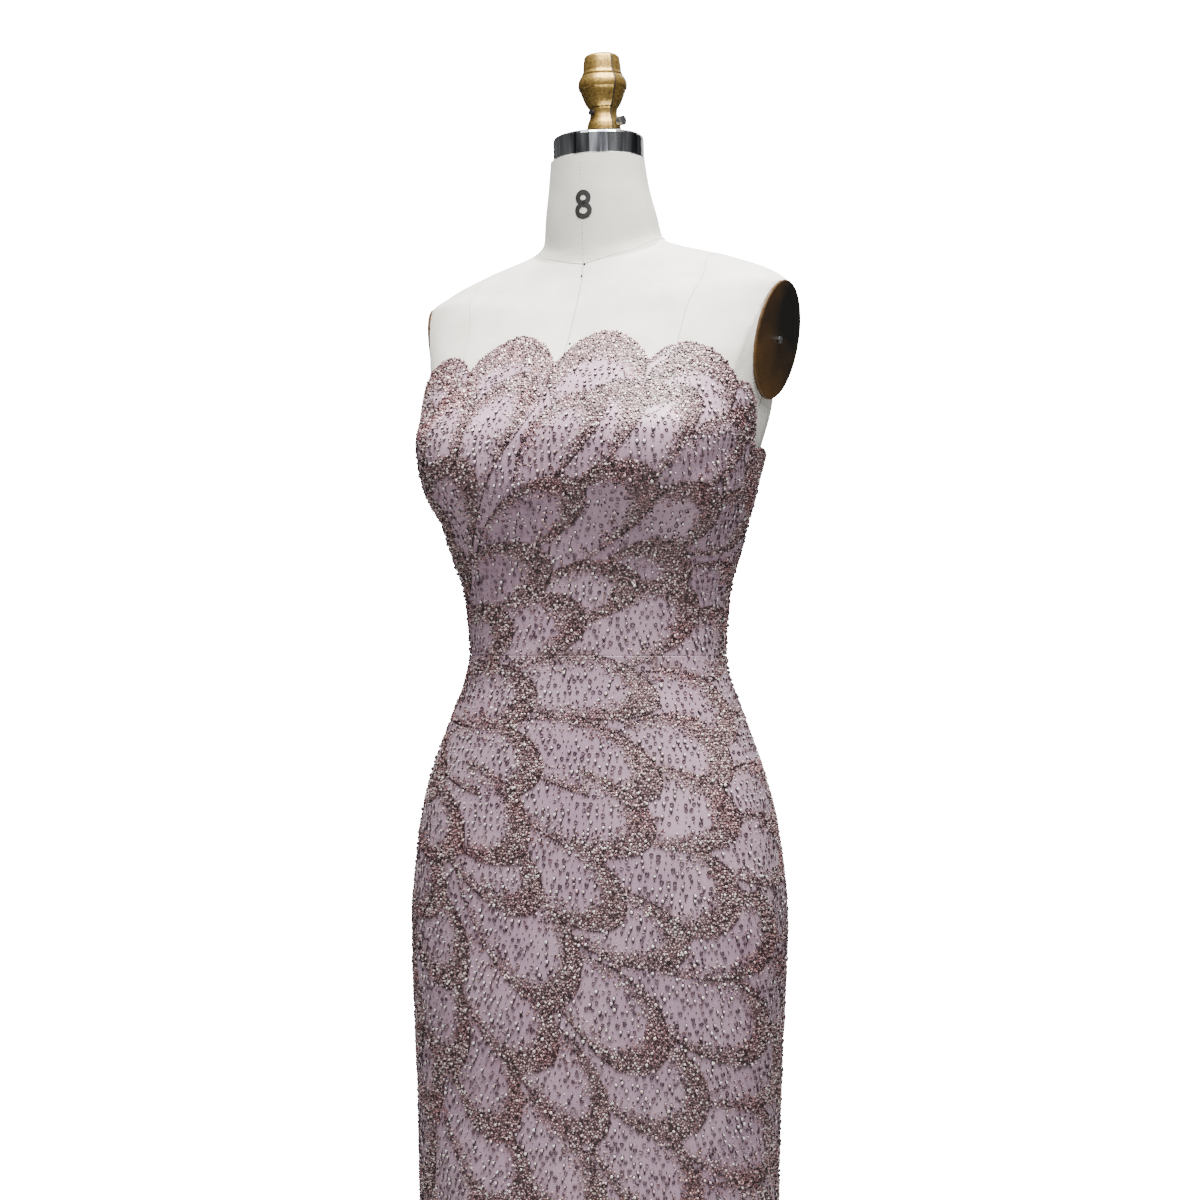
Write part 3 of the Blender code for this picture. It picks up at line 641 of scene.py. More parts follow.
class Finish(Enum):
    """The finishes of the gown, the form and the stand."""

    SATIN = BeadedSatin()
    # Silver-lined seed beads: rose, taupe and dark ones, and one in ten painted pure white as a glint.
    BAND_BEADS = BeadGlass(
        "silver_lined_glass_beads",
        (
            (0.0, "43343a"), (0.17, "8f7378"), (0.37, "c0a2a6"), (0.60, "dfc8cb"), (0.80, "f5e7ea"),
            (0.92, "ffffff"),
        ),
        rim="36292c", rim_share=(0.08, 0.46), roughness=0.22, metallic=0.2,
    )
    # Moulded pearl beads: a pale crown that fades to a dark mauve edge of painted shade, which reads as a
    # small ring.
    PEARLS = BeadGlass(
        "moulded_pearl_beads",
        ((0.0, "c4b0ba"), (0.25, "efe0e7"), (0.55, "ffffff")),
        rim="2c2026", rim_share=(0.20, 0.36), roughness=0.2, metallic=0.1, coat=0.5,
    )
    # Silver-lined glass rings, lying flat with the cloth showing through the hole: dark, with painted shade
    # down to the cloth and a lit crown that is partly a painted highlight.
    RINGS = BeadGlass(
        "silver_lined_glass_rings",
        ((0.0, "65545d"), (0.4, "8c7983"), (0.75, "c2b0b9")),
        rim="2b2127", rim_share=(0.1, 0.9), roughness=0.22, metallic=0.2,
    )
    # Clear and dark lilac seeds, pressed: little dashes with one glint each, their feet darkened with painted
    # shade.
    SEEDS = BeadGlass(
        "dark_lilac_seed_beads",
        ((0.0, "5f4e56"), (0.45, "8b7881"), (0.80, "dccdd4")),
        rim="4c3e45", rim_share=(0.0, 0.9), roughness=0.25, metallic=0.2,
    )
    CANVAS = Canvas()
    # Cotton thread, twisted: slightly darker than the canvas, with no gloss.
    THREAD = Metal("twisted_cotton_thread", "86847d", "62605a", 0.0, 0.9, (1.0, 1.0, 1.0), bump=0.3)
    # The cover's folded edge, pressed flat along each seam.
    WELT = Metal("pressed_canvas_welt", "c9c7bf", "b0ada4", 0.0, 0.85, (1.5, 1.5, 1.5), bump=0.3)
    # Stencil ink, black and matt, soaked in the canvas.
    PRINT = Metal("black_stencil_ink", "0c0c0e", "050506", 0.0, 0.6, (3.0, 3.0, 3.0))
    # Bronze-lacquered pressed steel: brown, with darker drifts, under a clear coat.
    PLATE = Metal("bronze_lacquered_steel", "5f421b", "0e0906", 0.35, 0.42, (80, 80, 80), coat=0.1)
    # Polished stainless steel, spun: dark, with light streaks up it that are painted reflections.
    CAP = Metal("polished_spun_steel", "d6d9de", "3a3b40", 1.0, 0.2, (9.0, 9.0, 600.0))
    # Gold paint on a rough zinc casting.
    FINIAL = Metal(
        "gold_painted_zinc_casting", "9f8347", "735d30", 0.85, 0.4, (2.2, 2.2, 2.2), bump=0.35, bump_mm=0.5
    )
    # The casting's parting line, filed flat: a dark strip on its crest, painted shade that stands for the
    # line's groove.
    FLASH = Metal("filed_zinc_flash", "33270f", "1c1508", 0.2, 0.6, (1.5, 1.5, 1.5), bump=0.3)
    # Zinc-plated steel: bright, slightly grey, with soft glints.
    SCREW = Metal("zinc_plated_screw_steel", "c6c6c6", "8f8f8f", 1.0, 0.3, (2.0, 2.0, 2.0), bump=0.2)
    # Enamelled cast iron: nearly black, with a soft gloss and a faint grain.
    IRON = Metal("black_enamelled_cast_iron", "26262a", "18181b", 0.3, 0.45, (4.0, 4.0, 4.0), bump=0.3)
    # Lacquered zinc, dyed to go with the satin: a dull mauve shine.
    ZIP = Metal("mauve_lacquered_zinc", "a48a96", "7f6873", 0.5, 0.35, (2.0, 2.0, 2.0), bump=0.1)
    # Woven tape, matt and dark, which is what shows in the gap of a seam: at the zip the zip's own tape, at
    # the waist and sides a dark sheet of painted shade.
    TAPE = Metal("woven_polyester_tape", "6d5864", "544350", 0.0, 0.8, (0.8, 0.8, 0.8), bump=0.4)

    def material(self) -> bpy.types.Material:
        """The finish's material, made the first time that it is asked for."""
        return bpy.data.materials.get(self.value.name) or self.value.build()


# ---------------------------------------------------------------- the gown's surface
@dataclass
class Crease:
    """One soft ridge or trough of the cloth: it runs from a start to an end."""

    start: tuple[float, float]
    end: tuple[float, float]
    depth: float
    spread: float


CREASES = (
    Crease((0.22, 1.235), (0.46, 1.285), -0.0022, 0.010),
    Crease((0.24, 1.205), (0.50, 1.250), 0.0018, 0.011),
    Crease((0.20, 1.175), (0.50, 1.215), -0.0020, 0.010),
    Crease((0.26, 1.150), (0.52, 1.180), 0.0016, 0.010),
    Crease((-0.28, 1.210), (-0.52, 1.240), -0.0016, 0.011),
    Crease((-0.24, 1.170), (-0.54, 1.190), 0.0014, 0.010),
    Crease((0.10, 1.080), (0.50, 1.060), -0.0012, 0.009),
    Crease((-0.10, 1.078), (-0.50, 1.062), -0.0012, 0.009),
    Crease((0.62, 1.180), (0.98, 1.140), -0.0016, 0.011),
    Crease((-0.62, 1.180), (-0.98, 1.140), -0.0016, 0.011),
    Crease((-0.30, 0.700), (0.20, 0.560), 0.0018, 0.022),
    Crease((0.35, 0.640), (-0.05, 0.480), -0.0020, 0.020),
)


@dataclass
class Skin:
    """The outer surface of the cloth, read at any place around and height."""

    columns: int = 720
    heights: int = 640
    top: float = 1.392
    arounds: np.ndarray = field(init=False)
    zs: np.ndarray = field(init=False)
    table: np.ndarray = field(init=False)
    normals: np.ndarray = field(init=False)
    half_rounds: np.ndarray = field(init=False)
    runs: np.ndarray = field(init=False)

    def __post_init__(self) -> None:
        """Tabulates the surface, its creases and its lengths."""
        self.arounds = np.linspace(-1, 1, self.columns + 1)
        self.zs = np.linspace(HEM_Z, self.top, self.heights)
        columns = lattice(self.arounds)
        table = np.zeros((self.heights, self.columns + 1, 3))
        for c in range(self.columns + 1):
            for axis in range(3):
                table[:, c, axis] = np.interp(self.zs, columns[:, c, 2], columns[:, c, axis])
        self.table = table
        self.half_rounds = np.linalg.norm(np.diff(table, axis=1), axis=2).sum(axis=1) / 2
        steps = np.linalg.norm(np.diff(table, axis=0), axis=2).mean(axis=1)
        self.runs = np.concatenate([[0.0], np.cumsum(steps)])
        self.normals = self.find_normals()
        self.table = table + self.normals * self.creased()[:, :, None]
        self.normals = self.find_normals()

    def find_normals(self) -> np.ndarray:
        """The outward normal at each point of the table."""
        across = np.gradient(self.table, axis=1)
        across[:, 0] = across[:, -1] = (across[:, 0] + across[:, -1]) / 2
        up = np.gradient(self.table, axis=0)
        return unit(np.cross(across, up))

    def creased(self) -> np.ndarray:
        """How far the creases lift each point of the table off the plain shape."""
        arounds, zs = np.meshgrid(self.arounds, self.zs)
        lift = np.zeros_like(arounds)
        for crease in CREASES:
            half = float(self.half_round((crease.start[1] + crease.end[1]) / 2))
            run = np.array([(crease.end[0] - crease.start[0]) * half, crease.end[1] - crease.start[1]])
            length = np.linalg.norm(run)
            x, y = (arounds - crease.start[0]) * half, zs - crease.start[1]
            along = (x * run[0] + y * run[1]) / length**2
            off = (x * run[1] - y * run[0]) / length
            fade = np.sin(math.pi * np.clip(along, 0, 1))
            lift += crease.depth * fade * np.exp(-((off / crease.spread) ** 2))
        return lift

    def half_round(self, z: np.ndarray) -> np.ndarray:
        """The cloth's length from the centre front to the centre back at a height."""
        return np.interp(z, self.zs, self.half_rounds)

    def run(self, z: np.ndarray) -> np.ndarray:
        """The cloth's length from the hem up to a height."""
        return np.interp(z, self.zs, self.runs)

    def height(self, run: np.ndarray) -> np.ndarray:
        """The height at a length up from the hem."""
        return np.interp(run, self.runs, self.zs)

    def at(self, around: np.ndarray, z: np.ndarray) -> tuple[np.ndarray, np.ndarray]:
        """Points and outward normals of the surface.

        Args:
            around: Places around, from -1 to 1.
            z: Heights, of the same shape.

        Returns:
            The points and the unit normals.
        """
        x = np.clip((np.asarray(around) + 1) / 2 * self.columns, 0, self.columns - 1e-6)
        share = (z - self.zs[0]) / (self.zs[-1] - self.zs[0])
        y = np.clip(share * (self.heights - 1), 0, self.heights - LAST_ROW)
        i, j = y.astype(int), x.astype(int)
        fy, fx = (y - i)[..., None], (x - j)[..., None]
        found = []
        for table in (self.table, self.normals):
            low = table[i, j] * (1 - fx) + table[i, j + 1] * fx
            high = table[i + 1, j] * (1 - fx) + table[i + 1, j + 1] * fx
            found.append(low * (1 - fy) + high * fy)
        return found[0], unit(found[1])

    def scatter(self, low: float, high: float, spacing: float, loose: float, seed: int) -> np.ndarray:
        """Spreads places over a stretch of the surface, in staggered rows.

        Args:
            low: The lowest height.
            high: The highest height.
            spacing: The distance between neighbours, in metres.
            loose: How far each may wander, as a share of the spacing.
            seed: The seed of the wandering.

        Returns:
            (n, 2) places around and heights.
        """
        rng = np.random.default_rng(seed)
        rows = np.arange(self.run(low), self.run(high), spacing * math.sqrt(0.75))
        found = []
        for number, run in enumerate(rows):
            half = float(self.half_round(self.height(run)))
            count = max(3, int(2 * half / spacing))
            wander = rng.uniform(-loose, loose, (2, count))
            around = (np.arange(count) + 0.5 * (number % 2) + wander[0] + 0.25) / count * 2 - 1
            around = (around + 1) % 2 - 1
            found.append(np.stack([around, self.height(run + wander[1] * spacing)], axis=1))
        return np.concatenate(found)


@dataclass
class Petal:
    """One petal of the beaded design, by its middle on the surface and its heading."""

    around: float
    z: float
    heading: float
    length: float
    width: float
    bend: float
    half_round: float
    run: float


@dataclass
class PetalDesign:
    """Overlapping leaf-shaped petals, each edged with a crescent of beads that is widest at its tip."""

    skin: Skin
    step_along: float = 0.090
    step_across: float = 0.047
    length: float = 0.168
    width: float = 0.068
    tip_band: float = 0.0260
    side_band: float = 0.0100
    blunt: float = 1.65
    # The petals along the neckline: one to a scallop, with its tip on the edge.
    neckline_length: float = 0.114
    # The height of the first row below those, and the greatest height that the last one may have.
    first_row: float = 1.272
    last_row: float = 0.03
    # How much petals bend, and how far each strays: round the body, as a share of the step there, and up
    # it, in metres; in its heading; in its length and its width, as shares; and in its bend.
    bend: float = 0.10
    stray: tuple[float, ...] = (0.17, 0.012, math.radians(17), 0.12, 0.12, 0.16)
    # Growth below the knee, and shrinking above the waist: (where it starts, over what height, by how much).
    below_knee: tuple[float, float, float] = (0.56, 0.25, 0.4)
    above_waist: tuple[float, float, float] = (1.05, 0.10, 0.16)
    # Where the swing of the headings turns over, as a place around.
    swing_place: float = 0.45
    # No place further from a petal's middle than this share of its length can be on it.
    reach: float = 0.62
    # Along a petal's edge, how wide a strip is kept clear for its row of beads, and how far in the row lies.
    edge_strip: float = 1.6 * MM
    edge_inset: float = 0.9 * MM
    edge_steps: int = 161
    seed: int = 11
    petals: list[Petal] = field(default_factory=list)

    # Petals point up at the neckline, round to the wearer's left at the waist, and down at the hem. The
    # swing turns the ones on the wearer's right one way and the ones on the left the other.
    HEADING_COLUMNS = ("height", "degrees", "swing")
    HEADINGS = (
        (0.00, -90.0, 0.0),
        (0.38, -88.0, 0.0),
        (0.50, -70.0, 12.0),
        (0.62, -52.0, 18.0),
        (0.72, -38.0, 20.0),
        (0.82, -25.0, 20.0),
        (0.92, -15.0, 20.0),
        (1.02, -4.0, 12.0),
        (1.10, 8.0, 0.0),
        (1.18, 26.0, -12.0),
        (1.24, 44.0, -14.0),
        (1.30, 68.0, -8.0),
        (1.36, 90.0, 0.0),
        (1.40, 90.0, 0.0),
    )

    def __post_init__(self) -> None:
        """Lays out the neckline's petals and then row after row down to the hem."""
        rng = np.random.default_rng(self.seed)
        ends, upward = np.array(SCALLOP_ENDS), 0.5 * math.pi
        for middle, width in zip((ends[:-1] + ends[1:]) / 2, np.diff(ends)):
            valley, rise = neckline_z(middle)
            z = float(valley + rise) - self.neckline_length / 2
            for side in (-1, 1):
                self.add(side * middle, z, upward, self.neckline_length, width, 0.0)
        for row, z in enumerate(self.rows()):
            grow, half = self.grow(z), float(self.skin.half_round(z))
            count = int(round(2 * half / self.steps(z)[0]))
            for number in range(count):
                turn, up, swing, longer, wider, bend = rng.uniform(-1, 1, len(self.stray)) * self.stray
                around = (number + 0.5 * (row % 2) + turn) / count * 2 - 1
                height = float(self.skin.height(self.skin.run(z) + up))
                heading = float(self.heading(height, around)) + swing
                length, width = self.length * grow * (1 + longer), self.width * grow * (1 + wider) / half
                self.add(around, height, heading, length, width, bend - self.bend)

    def rows(self) -> Iterator[float]:
        """The height of each row of petals, from the neckline's petals down to the hem."""
        z = self.first_row
        while z > self.last_row:
            yield z
            z = float(self.skin.height(self.skin.run(z) - self.steps(z)[1]))
        yield z

    def steps(self, z: float) -> tuple[float, float]:
        """How far apart petals are round the body and up it: further along their heading than across it."""
        turn, grow = float(self.heading(z, 0.0)), self.grow(z)
        along, across = self.step_along * grow, self.step_across * grow
        cosine, sine = math.cos(turn), math.sin(turn)
        return math.hypot(along * cosine, across * sine), math.hypot(along * sine, across * cosine)

    def grow(self, z: float) -> float:
        """How much larger the petals are below the knee, and how much smaller above the waist."""
        knee, down, more = self.below_knee
        waist, up, less = self.above_waist
        grown = 1 + more * float(np.clip((knee - z) / down, 0, 1))
        return grown - less * float(np.clip((z - waist) / up, 0, 1))

    def heading(self, z: np.ndarray, around: np.ndarray) -> np.ndarray:
        """The way that petals point at a height and a place around, in radians."""
        table = dict(zip(self.HEADING_COLUMNS, np.transpose(self.HEADINGS)))
        degrees = np.interp(z, table["height"], table["degrees"])
        swing = np.interp(z, table["height"], table["swing"])
        return np.radians(degrees - swing * np.cos(math.pi * (np.asarray(around) + self.swing_place)))

    def add(self, around: float, z: float, heading: float, length: float, share: float, bend: float) -> None:
        """Adds one petal, whose width is a share of the half round."""
        half, run = float(self.skin.half_round(z)), float(self.skin.run(z))
        self.petals.append(Petal(around, z, heading, length, share * half, bend, half, run))

    def half_width(self, share: np.ndarray) -> np.ndarray:
        """A petal's half width at a share of its length, as a share of its greatest half width."""
        return np.sqrt(np.clip(1 - (2 * np.clip(share, 0, 1) ** self.blunt - 1) ** 2, 0, None))

    def cover(self, around: np.ndarray, z: np.ndarray) -> tuple[np.ndarray, np.ndarray, np.ndarray]:
        """Finds which petal lies on top at each place, and how deep the place is in its band of beads.

        Args:
            around: Places around.
            z: Heights.

        Returns:
            The number of the top petal or -1, how deep in its band the place lies, in metres from the
            band's inner edge, and whether it is so near the petal's own edge that a bead there would meet
            the row of beads along it.
        """
        best = np.full(len(z), np.inf)
        top = np.full(len(z), -1)
        depth, rim = np.full(len(z), -1.0), np.zeros(len(z), bool)
        runs, headings = self.skin.run(z), self.heading(z, around)
        for number, petal in enumerate(self.petals):
            x = ((around - petal.around + 1) % 2 - 1) * petal.half_round
            y = runs - petal.run
            reach = self.reach * petal.length
            near = np.nonzero((np.abs(x) < reach) & (np.abs(y) < reach))[0]
            x, y = x[near], y[near]
            cosine, sine = math.cos(petal.heading), math.sin(petal.heading)
            along = x * cosine + y * sine + petal.length / 2
            off = y * cosine - x * sine - petal.bend * petal.length * (along / petal.length - 0.5) ** 2
            off, half = np.abs(off), petal.width / 2
            inside = (off < half * self.half_width(along / petal.length)) & (along > 0)
            inside &= along < petal.length
            order = -(x * np.cos(headings[near]) + y * np.sin(headings[near]))
            wins = inside & (order < best[near])
            chosen = near[wins]
            best[chosen] = order[wins]
            top[chosen] = number
            tip = petal.length - self.tip_band
            inner = (half - self.side_band) * self.half_width(along / tip)
            depth[chosen] = np.maximum(off - inner, along - tip)[wins]
            tip = petal.length - self.edge_strip
            near_edge = (half - self.edge_strip) * self.half_width(along / tip)
            rim[chosen] = ((off >= near_edge) | (along > tip))[wins]
        return top, depth, rim

    def edges(self, spacing: float) -> tuple[np.ndarray, np.ndarray]:
        """Places along every petal's visible edge.

        Args:
            spacing: The distance between neighbours, in metres.

        Returns:
            The places around and the heights.
        """
        share = (1 - np.cos(np.linspace(0, math.pi, self.edge_steps))) / 2
        arounds, heights, owners = [], [], []
        for number, petal in enumerate(self.petals):
            for side in (-1, 1):
                half = (petal.width / 2 - self.edge_inset) * self.half_width(share)
                along = share * (petal.length - self.edge_inset) - petal.length / 2
                off = side * half + petal.bend * petal.length * (along / petal.length) ** 2
                cosine, sine = math.cos(petal.heading), math.sin(petal.heading)
                x, y = along * cosine - off * sine, along * sine + off * cosine
                steps = np.concatenate([[0.0], np.cumsum(np.hypot(np.diff(x), np.diff(y)))])
                at = np.arange(spacing / 2, steps[-1], spacing)
                x, y = np.interp(at, steps, x), np.interp(at, steps, y)
                arounds.append((petal.around + x / petal.half_round + 1) % 2 - 1)
                heights.append(self.skin.height(petal.run + y))
                inside = (petal.run + y > 0) & (petal.run + y < self.skin.runs[-1])
                owners.append(np.where(inside, number, -2))
        around, z, owner = (np.concatenate(parts) for parts in (arounds, heights, owners))
        top, _, _ = self.cover(around, z)
        shown = top == owner
        return around[shown], z[shown]


# ---------------------------------------------------------------- the gown
class Cut(Enum):
    """The gown's cut pieces: the CAD node, its seams as places around, and whether it is in the bodice."""

    BODICE_FRONT = ("bodice_front", -SIDE_SEAM, SIDE_SEAM, True)
    BODICE_BACK_LEFT = ("bodice_back_left", SIDE_SEAM, 1.0, True)
    BODICE_BACK_RIGHT = ("bodice_back_right", -1.0, -SIDE_SEAM, True)
    SKIRT_FRONT = ("skirt_front", -SIDE_SEAM, SIDE_SEAM, False)
    SKIRT_BACK_LEFT = ("skirt_back_left", SIDE_SEAM, 1.0, False)
    SKIRT_BACK_RIGHT = ("skirt_back_right", -1.0, -SIDE_SEAM, False)

    @property
    def node(self) -> str:
        """The CAD node that the piece stands for."""
        return self.value[0]

    def holds(self, around: np.ndarray, z: np.ndarray) -> np.ndarray:
        """Whether each place is on this piece, clear of its seams."""
        _, start, end, upper = self.value
        return (around > start) & (around <= end) & ((z > WAIST_Z) == upper)


def dome_template(
    sides: int, rings: tuple[tuple[float, float, float], ...]
) -> tuple[np.ndarray, np.ndarray, np.ndarray]:
    """One bead of unit size: a dome, or a ring, with few sides.

    A point's crown is 1 on the bead's top and 0 where it meets the cloth.

    Args:
        sides: How many sides it has.
        rings: (radius, height, crown) of each ring from the cloth up. A last radius of 0 is a point, and
            a last height of 0 leaves a hole.

    Returns:
        Its points, its triangles and the crown of each point.
    """
    points, crown, faces = [], [], []
    for number, (radius, height, lit) in enumerate(rings):
        if radius == 0:
            points.append((0.0, 0.0, height))
            crown.append(lit)
            first = (number - 1) * sides
            faces += [(first + s, first + (s + 1) % sides, len(points) - 1) for s in range(sides)]
            continue
        for s in range(sides):
            turn = 2 * math.pi * (s + 0.5 * number) / sides
            points.append((radius * math.cos(turn), radius * math.sin(turn), height))
            crown.append(lit)
        if number:
            low, high = (number - 1) * sides, number * sides
            for s in range(sides):
                faces.append((low + s, low + (s + 1) % sides, high + s))
                faces.append((low + (s + 1) % sides, high + (s + 1) % sides, high + s))
    if rings[-1][0] > 0 and rings[-1][1] > 0:
        top = (len(rings) - 1) * sides
        faces += [(top, top + s, top + s + 1) for s in range(1, sides - 1)]
    return np.array(points), np.array(faces), np.array(crown)


class BeadShape(Enum):
    """Shapes of single beads: how many sides, and the (radius, height, crown) of each ring of points."""

    STUD = (4, ((1.0, 0.0, 0.0), (0.0, 1.0, 1.0)))
    PEARL = (6, ((1.0, 0.15, 0.0), (0.62, 0.85, 0.3), (0.0, 1.05, 1.0)))
    RING = (7, ((1.0, 0.0, 0.0), (0.80, 1.0, 1.0), (0.58, 0.0, 0.3)))


@dataclass
class Beads:
    """Beads on a surface, as one row of each array for every bead.

    Args:
        points: Where each sits.
        normals: Which way each faces.
        sizes: (n, 3) half widths and height of each.
        tones: A number from 0 to 1 that picks each bead's colour.
        spins: Each bead's turn about its normal, from straight up.
        leans: (n, 2) how far each leans off its normal.
    """

    points: np.ndarray
    normals: np.ndarray
    sizes: np.ndarray
    tones: np.ndarray
    spins: np.ndarray
    leans: np.ndarray

    @classmethod
    def alike(
        cls, points: np.ndarray, normals: np.ndarray, size_mm: tuple[float, float, float],
        spins: np.ndarray | None = None,
    ) -> Beads:
        """Beads of one size and one tone, which stand straight on the surface.

        Args:
            points: Where each sits.
            normals: Which way each faces.
            size_mm: The half widths and the height of all of them.
            spins: Each bead's turn, or none of them turned.

        Returns:
            The beads.
        """
        count = len(points)
        sizes = np.tile([size * MM for size in size_mm], (count, 1))
        spins = np.zeros(count) if spins is None else spins
        return cls(points, normals, sizes, np.full(count, 0.5), spins, np.zeros((count, 2)))

    def only(self, held: np.ndarray) -> Beads:
        """Those of the beads that are marked."""
        return Beads(*(getattr(self, part.name)[held] for part in fields(self)))

    def mesh(self, name: str, shape: BeadShape, smooth: bool = True) -> bpy.types.Mesh:
        """Joins the beads in one mesh.

        Args:
            name: The mesh's name.
            shape: The shape of every bead.
            smooth: Whether they are shaded round.

        Returns:
            The mesh, with a tone and a crown on each point.
        """
        template, faces, crown = dome_template(*shape.value)
        up = unit(UP - self.normals * self.normals[:, 2:3])
        side = np.cross(up, self.normals)
        facing = unit(self.normals + self.leans[:, :1] * side + self.leans[:, 1:] * up)
        first = np.cos(self.spins)[:, None] * up + np.sin(self.spins)[:, None] * side
        first = unit(first - facing * (first * facing).sum(axis=1, keepdims=True))
        axes = np.stack([first, np.cross(facing, first), facing], axis=1)
        local = template[None] * self.sizes[:, None, :]
        placed = self.points[:, None, :] + np.einsum("nka,nab->nkb", local, axes)
        count, corners = len(self.points), len(template)
        offsets = (np.arange(count) * corners)[:, None, None]
        mesh = mesh_from_arrays(name, placed.reshape(-1, 3), (faces[None] + offsets).reshape(-1, 3), smooth)
        set_attribute(mesh, "tone", np.repeat(self.tones, corners))
        set_attribute(mesh, "crown", np.tile(crown, count))
        return mesh


class BeadLot(Enum):
    """The gown's beads by kind: name, finish, shape, the most that one leans, and whether shaded round."""

    BAND = ("band_beads", Finish.BAND_BEADS, BeadShape.STUD, 0.5, True)
    EDGE = ("edge_beads", Finish.BAND_BEADS, BeadShape.STUD, 0.4, True)
    NECKLINE = ("neckline_beads", Finish.BAND_BEADS, BeadShape.STUD, 0.6, True)
    PEARLS = ("pearls", Finish.PEARLS, BeadShape.PEARL, 0.15, True)
    RINGS = ("rings", Finish.RINGS, BeadShape.RING, 0.15, True)
    SEEDS = ("seeds", Finish.SEEDS, BeadShape.STUD, 0.15, False)


@dataclass(frozen=True)
class Spread:
    """How beads are spread on the gown.

    Args:
        close: The distance between neighbours where the photo shows the gown.
        wide: The distance between them below that.
        loose: How far each may wander, as a share of the distance.
        seed: The seed of the wandering. The next number is the seed below what the photo shows.
    """

    close: float
    wide: float
    loose: float
    seed: int


@dataclass
class Gown:
    """The beaded gown: six cut pieces of satin and tulle, their beads, and the zip in the back."""

    skin: Skin
    design: PetalDesign
    # The points of a sheet: its rows, and its columns for each half round.
    bodice_rows: int = 64
    skirt_rows: int = 190
    bodice_columns: int = 89
    skirt_columns: int = 128
    # Half a round of the cloth, about, which turns a seam's gap in metres into a share of it.
    usual_half_round: float = 0.40
    # The sheets' first and last strips, as a share, and how far their edges turn in, as a share of the wall.
    edge_fold: float = 0.001
    turned_in: float = 0.9
    # The lowest height that the photo shows. Below it, beads lie further apart.
    photo_low: float = 0.585
    band_spread: Spread = Spread(2.45 * MM, 3.7 * MM, 0.28, 21)
    ground_spread: Spread = Spread(6.2 * MM, 9.5 * MM, 0.2, 31)
    edge_spacing: float = 2.5 * MM
    # The row along the neckline: its steps, the line that it is measured on, and how far in its ends lie.
    neckline_spacing: float = 2.1 * MM
    neckline_steps: int = 4001
    neckline_drop: float = 0.8 * MM
    neckline_end: float = 1.5 * MM
    # How far a bead's middle keeps clear of seams and edges, and of the side seams, which beads hide.
    seam_margin: float = 0.9 * MM
    side_margin: float = 0.54 * MM
    # How far beads stray off a band's inner edge: on to the ground, and into the band.
    fray: tuple[float, float] = (-9.0 * MM, 7.0 * MM)
    # The band along the neckline: its least depth, and what a scallop adds, as a share of its rise.
    neckline_band: tuple[float, float] = (0.005, 0.24)
    # How deep a bead's foot is sunk in the cloth.
    sunk_mm: float = 0.1
    # The beads of the bands: half widths, and heights as a share of them.
    band_radii_mm: tuple[float, float] = (1.05, 1.5)
    band_tallness: tuple[float, float] = (1.1, 1.6)
    edge_radii_mm: tuple[float, float] = (1.25, 1.6)
    edge_tallness: float = 1.3
    neckline_radii_mm: tuple[float, float] = (1.1, 1.7)
    neckline_tallness: float = 1.4
    neckline_stray_mm: tuple[float, float] = (-1.0, 0.7)
    # The few large pale ones among them, painted pure white as highlights: how many, as a share, their half
    # width and their tone.
    large: tuple[float, float, float] = (0.04, 1.7, 0.97)
    # The powers that darken tones: everywhere; from a height on over a height, added as painted shade; and on
    # the edges, partly as painted shade.
    tone_power: float = 1.1
    high_tone: tuple[float, float, float] = (0.25, 1.27, 0.06)
    edge_darkening: float = 2.4
    # What a place on a ground gets, by a draw from 0 to 1: a pearl over a seed, then a ring, then a seed.
    pearl_draw: float = 0.36
    ring_draw: float = 0.70
    band_pearl_draw: float = 0.13
    pearl_drop_mm: float = 2.9
    # The grounds' beads: how much their sizes vary, half widths in mm, and the rest as shares of those.
    varied: tuple[float, float] = (0.85, 1.15)
    pearl_radii_mm: tuple[float, float] = (1.65, 1.95)
    large_pearls: float = 0.4
    pearl_tallness: float = 1.15
    ring_radius_mm: float = 2.05
    ring_roundness: tuple[float, float] = (0.75, 1.0)
    ring_tallness: float = 0.55
    # Seeds are dashes, in mm, that hang nearly straight down.
    seed_lengths: tuple[float, float] = (1.3, 2.0)
    seed_width: float = 0.9
    seed_tallness: float = 1.1
    seed_turn: float = 0.35
    seed: int = 7
    trims: dict[str, list] = field(default_factory=dict)

    # Half the widths of the tapes behind the seams.
    WAIST_TAPE, SIDE_TAPE, ZIP_TAPE = 5 * MM, 4 * MM, 11 * MM
    TAPE_BACK = -1.2 * CLOTH_WALL
    # The waist's tape ends short of the zip, and the sides' short of the hem, the waist and the neckline.
    WAIST_TAPE_END = 0.985
    SIDE_TAPES = (("skirt", HEM_Z + 0.004, WAIST_Z - 0.006), ("bodice", WAIST_Z + 0.006, 1.27))
    WAIST_TAPE_STEPS, SIDE_TAPE_STEPS = 161, 120
    # The zip: its ends, the step of its teeth, how deep behind the cloth they lie, and their half sizes.
    ZIP_ENDS = (0.86, 1.246)
    ZIP_STEP = 1.5 * MM
    ZIP_DEPTH_MM = 1.9
    ZIP_TOOTH_MM = (0.5, 1.6, 0.8)

    # What each piece was cut to, before it was sewn: (width along the bust or hem, length, area).
    FLAT_SIZES = {
        "bodice_front": (0.46, 0.30, 0.108),
        "bodice_back_left": (0.22, 0.19, 0.033),
        "bodice_back_right": (0.22, 0.19, 0.033),
        "skirt_front": (1.31, 1.16, 0.68),
        "skirt_back_left": (0.66, 1.16, 0.34),
        "skirt_back_right": (0.66, 1.16, 0.34),
    }

    def build(self) -> None:
        """Builds the beads, the sheets that carry them, and the zip."""
        self.lay_band_beads()
        self.lay_ground_beads()
        self.lay_neckline_row()
        for cut in Cut:
            self.build_sheet(cut)
        self.bind_seams()
        self.build_zip()

